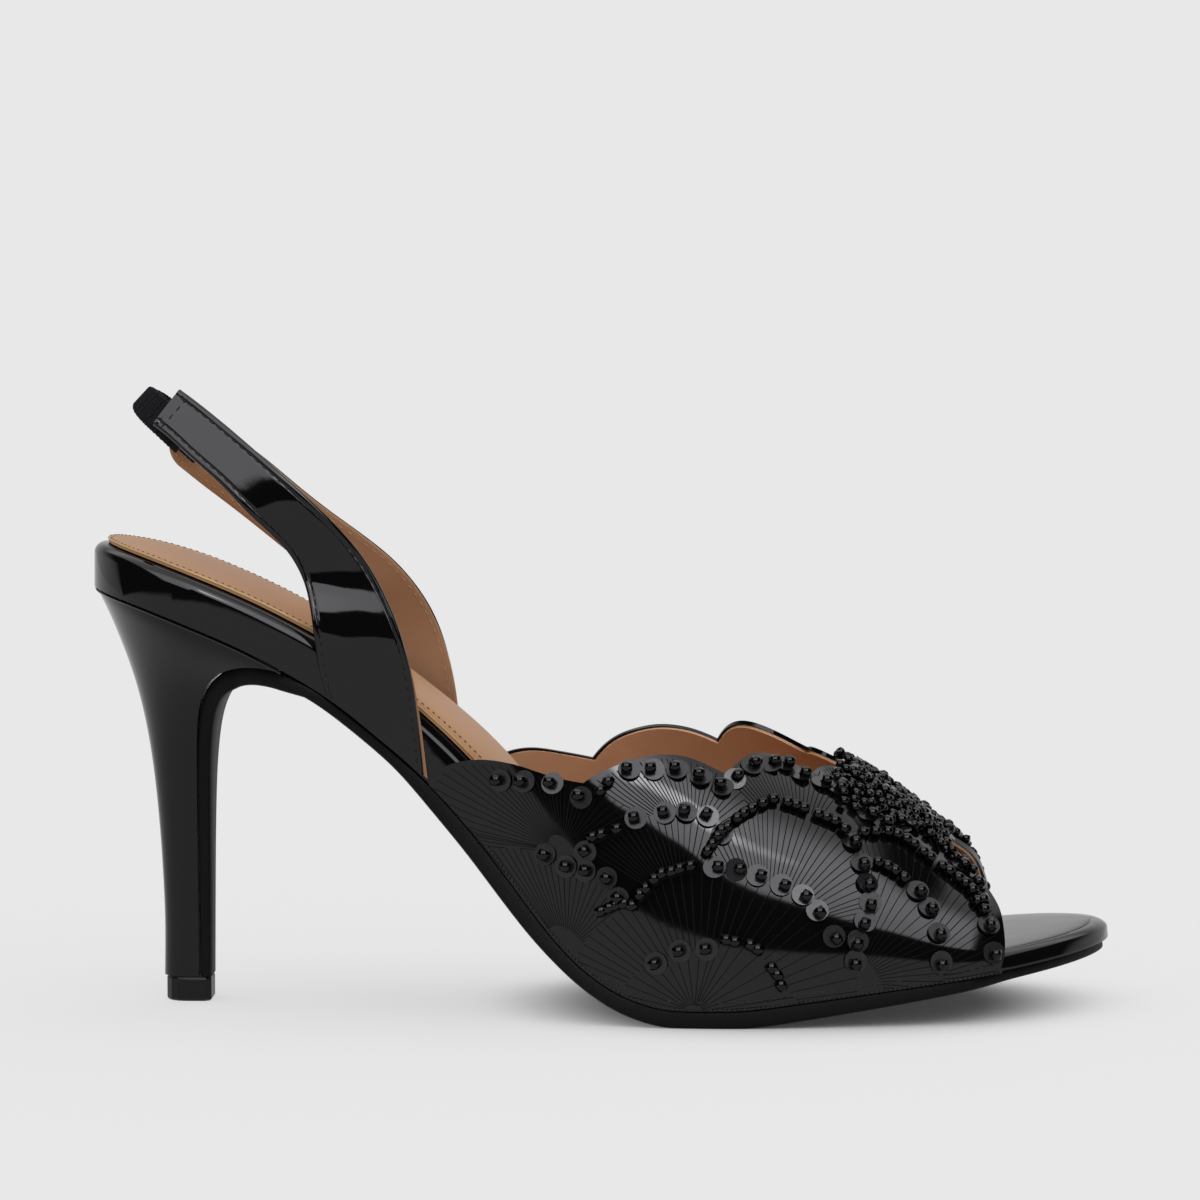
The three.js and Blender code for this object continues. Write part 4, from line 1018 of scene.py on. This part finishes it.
rows = [  # flat places in order, whether sequins lie under the beads, and how far the bead sits along the row
    ([(69, 57.4), (74, 55.6), (80, 52.9), (86, 52.9)], True, -0.7),
    ([(90, 49.5), (91.5, 46.7)], False, 0),
    ([(96, 41.5), (101, 39.6), (106, 37.4), (111, 36.7), (115.5, 36.6)], True, -0.8),
    ([(118, 33), (121.5, 26.9), (125.5, 23.3), (128.5, 20.8), (132, 21.7), (136.5, 20.8), (139.5, 20.6)], True, 0.7),
    ([(88.5, 60), (93.5, 55.8)], False, 0),
    ([(97.5, 51.7), (103.5, 48.4), (108, 46.3), (112.5, 45.1), (115.5, 47.5)], True, -0.5),
    ([(78.5, 68.5), (83, 68.8), (87, 67.7), (91.5, 67), (94, 70), (87, 63.8)], True, 0.1),
    ([(90.5, 74.4), (93.5, 71.6), (97, 70.3)], False, 0),
    ([(98.5, 67.6), (101.5, 63.3), (105, 60.5), (109, 57.7)], False, 0),
    ([(114, 55.5), (118.5, 53.7), (123, 52.6), (128, 52), (132.5, 51.8), (135.5, 53.5), (139, 57)], True, 0.7),
    ([(102, 80.6), (107, 76.2), (112.5, 73.4)], True, -0.3),
    ([(116.5, 69.5), (121.5, 68), (126, 70.4), (128, 73)], False, 0),
    ([(112.5, 53), (114.5, 48.7), (116.5, 45.7), (118.5, 42.6), (121.5, 38.7), (123.8, 36), (126, 33.6), (129, 32.6),
      (132.5, 32), (135.5, 31.7), (139, 31.3), (141, 32)], False, 0),
    ([(143, 33.4), (144.8, 37.5), (146, 41.3), (146.6, 45.2), (145.5, 49.9), (144, 55), (143.5, 59.5)], True, 0.8),
    ([(145, 30.2), (147.5, 28), (150, 25.8), (152, 24.6), (154, 23.9), (157.5, 24.1), (161.5, 24.3), (165, 25),
      (168, 26.6), (169, 29.1), (170.5, 30.5)], False, 0),
    ([(148, 35.4), (150, 34.8), (153.5, 34.8)], False, 0),
    ([(156.5, 35), (159, 36.9), (161, 41), (161.5, 46.8)], True, 0.7),
    ([(166, 19.3), (169, 23.3), (170, 28), (171.5, 33.3), (172.5, 38.9)], True, 0.5),
    ([(140, 18.9), (146, 23.4), (149, 23.3)], True, 0.9),
    ([(149, 3), (149.5, 12), (153, 20)], True, -0.9),
    ([(157.5, 9.7), (163, 4.3), (158, -6)], True, 0.9),
]


def turnOf(normal, way, tilt=0.0, spin=0.0):
    out = Vector(normal).normalized()
    run = Vector(way)
    run = (run - out * run.dot(out)).normalized()
    basis = Matrix((run, out.cross(run), out)).transposed()
    return basis @ Matrix.Rotation(tilt, 3, "Y") @ Matrix.Rotation(spin, 3, "X")


def makeTrim():
    chance = np.random.default_rng(trim["seed"])
    sequins, beads = [], []
    lying = Matrix.Rotation(math.pi / 2, 3, "Y")  # a bead's hole runs along the row
    for side in (1, -1):
        for row, sewn, lean in rows:
            foot, normal = stand(row if side == 1 else mirrored(row))
            for i, (at, out, way) in enumerate(zip(foot, normal, headings(foot))):
                tilt, spin = np.radians(chance.normal(0, trim["tilt"], 2))
                if sewn:
                    turn = turnOf(out, way, math.radians(trim["sequinLean"]) + tilt, spin)
                    sequins.append((at + out * trim["sequinRise"], turn, 1))
                height = trim["sewnRise"] if sewn else trim["bareRise"]
                beads.append((at + out * height + way * lean, turnOf(out, way, tilt, 0) @ lying, 1))
                if not sewn and i + 1 < len(foot) and np.linalg.norm(foot[i + 1] - at) > trim["secondOver"]:
                    beads.append((at + way * trim["second"] + out * height, turnOf(out, way, -tilt, 0) @ lying, 1))
    limit = through(field, "down")
    taken = [place for place, turn, share in beads + sequins]
    for attempt in range(field["tries"]):
        x, share = chance.uniform(field["from"], field["to"]), chance.uniform(-1, 1)
        flat = [(x, share * float(limit(x)) * (1 if share > 0 else field["innerShare"]))]
        off = distance(flat, topLine)[0] >= field["offTop"] and distance(flat, frontLine)[0] >= field["offFront"]
        if not off or not inside(flat, vampShape)[0]:
            continue
        at, out = (value[0] for value in stand(flat))
        place = at + out * trim["bareRise"]
        if np.linalg.norm(np.array(taken) - place, axis=1).min() < trim["room"]:
            continue
        taken.append(place)
        way = np.array(field["way"]) + chance.normal(0, field["stray"], 3)
        turn = turnOf(out, way, *np.radians(chance.normal(0, field["tilt"], 2))) @ lying
        beads.append((at + out * chance.uniform(*field["rise"]), turn, trim["small"]))
        if chance.random() < field["sequins"]:
            turn = turnOf(out, way, *np.radians(chance.normal(0, field["sequinTilt"], 2)))
            sequins.append((at + out * trim["sewnRise"], turn, 1))
    for kind, found, sharp in (("sequins", sequins, 50), ("beads", beads, 88)):
        sizes = {key: value * mm for key, value in trim[kind].items()}
        places, turns, shares = zip(*found)
        piece = grow("vamp" + kind.title(), recipes[kind], places, [], {**sizes, "Finish": finishes[kind]}, sharp,
                     turn=[tuple(turn.to_euler()) for turn in turns], share=shares)
        dress(piece, kind, "vamp_patent")
        print(kind, len(found))


makeTrim()


def makeSeams():
    sewn, joint = [], []
    for side in (0, -1):
        x = np.linspace(84, 172, 60)
        total = np.array([flatRow(a)[side] for a in x])
        sewn.append(onVamp(list(zip(x, total * (1 - 1.8 / np.abs(total)))), 0.02))
        joint.append(lastPoint(np.linspace(66, 174, 90), 0.2 if side == 0 else 179.8, 0.1))
    threads("vampStitches", "stitches", sewn, "thread", "vamp_patent", Pitch=2.0, Length=1.5, Width=0.3)
    threads("vampJoint", "stitches", joint, "thread", "vamp_patent", Pitch=1.0, Length=0.95, Width=0.5)
    x = seatX + 0.5 + (1 - np.cos(np.linspace(0, math.pi / 2, 70))) * 42
    outer, inner = bedSides(x, 0.45)
    ring = np.concatenate([onBed(x, outer, -0.6)[::-1], onBed(x, inner, -0.6)])
    threads("heelJoint", "lines", [ring], "patent", "heel_patent", Width=0.6)


makeSeams()

# Sling straps: patent over a tan lining, and the elastic behind the heel
sling = {
    "thick": 1.6, "lift": 0.8, "rise": 48, "spread": 25.8, "bendRadius": 13, "bendReach": 8.8,
    "turn": 18, "slope": 47, "stations": 190, "twist": 0.75, "elasticWidth": 8, "elasticThick": 1.4, "tuck": 7,
    "outerDrop": 2.2, "innerLift": 0.5,
}
outerStrap = {
    "row": list(range(12)),
    "frontX": [.332, .327, .321, .310, .296, .275, .247, .205, .167, .138, .113, .091],
    "frontZ": [0, .197, .378, .533, .629, .717, .772, .826, .880, .923, .960, .989],
    "rearX": [.238, .231, .226, .221, .215, .207, .194, .164, .131, .103, .081, .065],
    "rearZ": [0, .091, .232, .353, .425, .480, .531, .583, .664, .714, .762, .790],
    "hug": [1, 1, .8, .3, 0, 0, 0, 0, 0, 0, 0, 0],
}
innerStrap = {
    "row": list(range(11)),
    "frontX": [.354, .352, .348, .335, .313, .280, .237, .204, .164, .128, .089],
    "frontZ": [0, .204, .393, .570, .665, .706, .703, .725, .787, .840, .901],
    "rearX": [.243, .237, .232, .225, .216, .204, .187, .164, .127, .095, .060],
    "rearZ": [0, .067, .156, .239, .305, .359, .400, .433, .493, .550, .631],
    "hug": [1, 1, .8, .3, 0, 0, 0, 0, 0, 0, 0],
}
slingPlan = {
    "reach": [-1.45, -.97, -.73, -.57, -.35, -.12, .08, .26],
    "spread": [.985, 1.005, .970, .930, .855, .745, .615, .478],
}
slingSpread = through(slingPlan, "spread", .04)
slope = math.radians(sling["slope"])
slingBack, slingAcross = (-math.sin(slope), math.cos(slope)), (math.cos(slope), math.sin(slope))
slingJoin = sling["bendReach"] + sling["bendRadius"] * math.sin(math.radians(sling["turn"]))
soleXs = np.linspace(seatX, 120, 4001)
soleZs = soleZ(soleXs)


def slingFrame(x, z, way):
    return (x - seatX) * way[0] + (z - shoe["heelHeight"]) * way[1]


def slingHalf(reach):
    bend = np.sqrt(np.maximum(sling["bendRadius"] ** 2 - (reach - sling["bendReach"]) ** 2, 0))
    return np.where(reach < slingJoin, slingSpread(reach / sling["rise"]) * sling["spread"], bend)


strapWave = {  # gentle buckles of the patent along the height over the floor
    "z": [46, 58, 66, 69, 74, 79, 82, 86, 91.5, 95, 98, 101, 107, 114, 122, 128, 136],
    "wave": [0, 1.2, 2.2, 2.3, 1.7, 0.8, -0.3, -1.6, -3.0, -3.3, -3.2, -2.7, -.8, -.6, -.2, 0, 0],
}
buckle = through(strapWave, "wave", 2)


def strapPoint(x, up, hug, side):
    z = soleZ(x) + sling["lift"] + up * sling["rise"]
    foot = soleXs[np.argmin(np.hypot(soleXs[None] - x[:, None], soleZs[None] - z[:, None]), axis=1)]
    seated = np.abs(bedSides(foot)[0 if side < 0 else 1]) + shoe["clearance"] + sling["thick"] / 2
    free = slingHalf(slingFrame(x, z, slingBack))
    level = z + 0.22 * (x - 38) * np.clip((84 - z) / 10, 0, 1)
    wave = buckle(level) * (1 - hug) * (1 if side < 0 else 0.4)
    return np.stack([x, side * (mix(free, seated, hug) + wave), z], -1)


def strapOut(rear, front, side):
    out = np.cross(np.gradient((rear + front) / 2, axis=0), front - rear) * side
    return out / np.linalg.norm(out, axis=1)[:, None]


def bandGrid(rear, front, profile, side):  # columns are (millimetres from an edge, share across, height)
    across = front - rear
    width = np.linalg.norm(across, axis=1)[:, None]
    reach, share, height = (np.array(column) for column in zip(*profile))
    share = reach[None] / width + share[None]
    return rear[:, None] + across[:, None] * share[..., None] + (
        strapOut(rear, front, side)[:, None] * height[None, :, None])


def bandFace(edge, flat, groove=0.0):  # a flat face that rolls over at both edges, with a sewn groove
    reach = np.array([0, 0.06, 0.2, 0.4, 0.65, 0.9, 1.15, 1.35, 1.5, 1.65, 1.85, 2.1])
    height = edge + (flat - edge) * rounded(reach, 0.65) - groove * np.exp(-((reach - 1.5) / 0.2) ** 2)
    side = [(r, 0, h) for r, h in zip(reach, height)]
    return side + [(0, s, flat) for s in (0.32, 0.5, 0.68)] + [(-r, 1, h) for r, _, h in side[::-1]]


def strapEdges(rows, side, count):
    at = np.linspace(0, len(rows["row"]) - 1, count)
    value = {name: through(rows, name, .3)(at) for name in rows}
    front = strapPoint(atShare(value["frontX"]), value["frontZ"], value["hug"], side)
    rear = strapPoint(atShare(value["rearX"]), value["rearZ"], value["hug"], side)
    twist = sling["twist"] * np.clip((at - 4) / 3, 0, 1)
    front[:, 1] -= side * twist
    rear[:, 1] += side * twist
    if side > 0:  # a rounded end
        left = np.linalg.norm(rear - rear[-1], axis=1)[:, None]
        narrow = (1 - rounded(left, 5)) * 0.32
        rear, front = mix(rear, front, narrow), mix(front, rear, narrow)
    return rear, front


def makeStrap(rows, side, name, node):
    rear, front = strapEdges(rows, side, sling["stations"])
    half = sling["thick"] / 2
    face = bandGrid(rear, front, bandFace(half * 0.1, half, 0.14), side)
    under = bandGrid(rear, front, bandFace(half * 0.05, -half * 0.1), side)
    dress(wall(name + "Patent", face, under, 50), "strapPatent", "strap_patent", node)
    show = 0.012 - 0.05 * np.clip(1 - np.linspace(0, 3, len(rear)), 0, 1)[:, None]  # lining shows at the foot
    rearIn, frontIn = mix(rear, front, 0.012), mix(front, rear, show)
    face = bandGrid(rearIn, frontIn, bandFace(-half * 0.15, -half * 0.2), side)
    under = bandGrid(rearIn, frontIn, bandFace(-half * 0.5, -half), side)
    dress(wall(name + "Lining", face, under, 50), "lining", "strap_patent")
    out = strapOut(rear, front, side) * half
    width = np.linalg.norm(front - rear, axis=1)[:, None]
    lines = [(a + (b - a) * 1.5 / width)[4:-5] for a, b in ((rear, front), (front, rear))]
    cross = np.array([mix(rear[-9], front[-9], t) + out[-9] for t in np.linspace(0.14, 0.86, 20)])
    threads(name + "Stitches", "stitches", [line + out[4:-5] * 0.88 for line in lines] + [cross], "thread",
            "strap_patent", Pitch=2.2, Length=1.5, Width=0.36)
    threads(name + "LiningStitches", "stitches", [line - out[4:-5] * 1.02 for line in lines], "tanThread",
            "strap_patent", Pitch=2.2, Length=1.4, Width=0.34)


makeStrap(outerStrap, -1, "strapOuter", "strap_outer")
makeStrap(innerStrap, 1, "strapInner", "strap_inner")


def makeElastic():
    inset = (sling["thick"] + sling["elasticThick"]) / 2 + 2 * shoe["clearance"]
    ends = []
    for rows, side in ((outerStrap, -1), (innerStrap, 1)):
        rear, front = strapEdges(rows, side, 40)
        middle = (rear[-1] + front[-1]) / 2
        ends.append([slingFrame(middle[0], middle[2], way) for way in (slingBack, slingAcross)] + [side])
    sides = []
    for reach, level, side in ends:
        run = np.linspace(reach - sling["tuck"], slingJoin, 40)
        sides.append(np.stack([run, side * slingHalf(np.minimum(run, slingJoin - 1e-6))], -1))
    angle = np.radians(np.linspace(sling["turn"] - 90, 90 - sling["turn"], 90)[1:-1])
    bend = np.stack([np.cos(angle), np.sin(angle)], -1) * sling["bendRadius"] + [sling["bendReach"], 0]
    line = np.concatenate([sides[0], bend, sides[1][::-1]])
    at = np.linspace(0, lengths(line)[-1], 420)
    line = np.stack([soften(column, 8) for column in evenly(line, 420).T], -1)
    run = headings(line)
    line = line + np.stack([-run[:, 1], run[:, 0]], -1) * inset
    level = mix(ends[0][1] - sling["outerDrop"], ends[1][1] + sling["innerLift"], np.linspace(0, 1, len(line)))
    ripple = np.sin(at * 2 * math.pi / 1.1) * 0.5 + np.sin(at * 2 * math.pi / 1.9 + 1) * 0.35
    half = sling["elasticWidth"] / 2 - 0.35 + 0.06 * np.sin(at * 2 * math.pi / 1.1 + 0.6)
    half = half - 0.9 * np.exp(-((at - at[-1] / 2) / 7) ** 2)
    place = lambda shift: np.stack([
        seatX + slingBack[0] * line[:, 0] + slingAcross[0] * (level + shift),
        line[:, 1],
        shoe["heelHeight"] + slingBack[1] * line[:, 0] + slingAcross[1] * (level + shift)], -1)
    rear, front = place(-half), place(half)
    profile = bandFace(0.05, sling["elasticThick"] / 2 - 0.25)
    face = bandGrid(rear, front, profile, 1)
    under = bandGrid(rear, front, [(r, s, -h) for r, s, h in profile], 1)
    wave = (ripple * 0.24)[:, None, None] * strapOut(rear, front, 1)[:, None]
    body = wall("slingElastic", face + wave, under + wave, 60)
    return dress(body, "elastic", "sling_elastic", "elastic")


makeElastic()
print("sling ready")
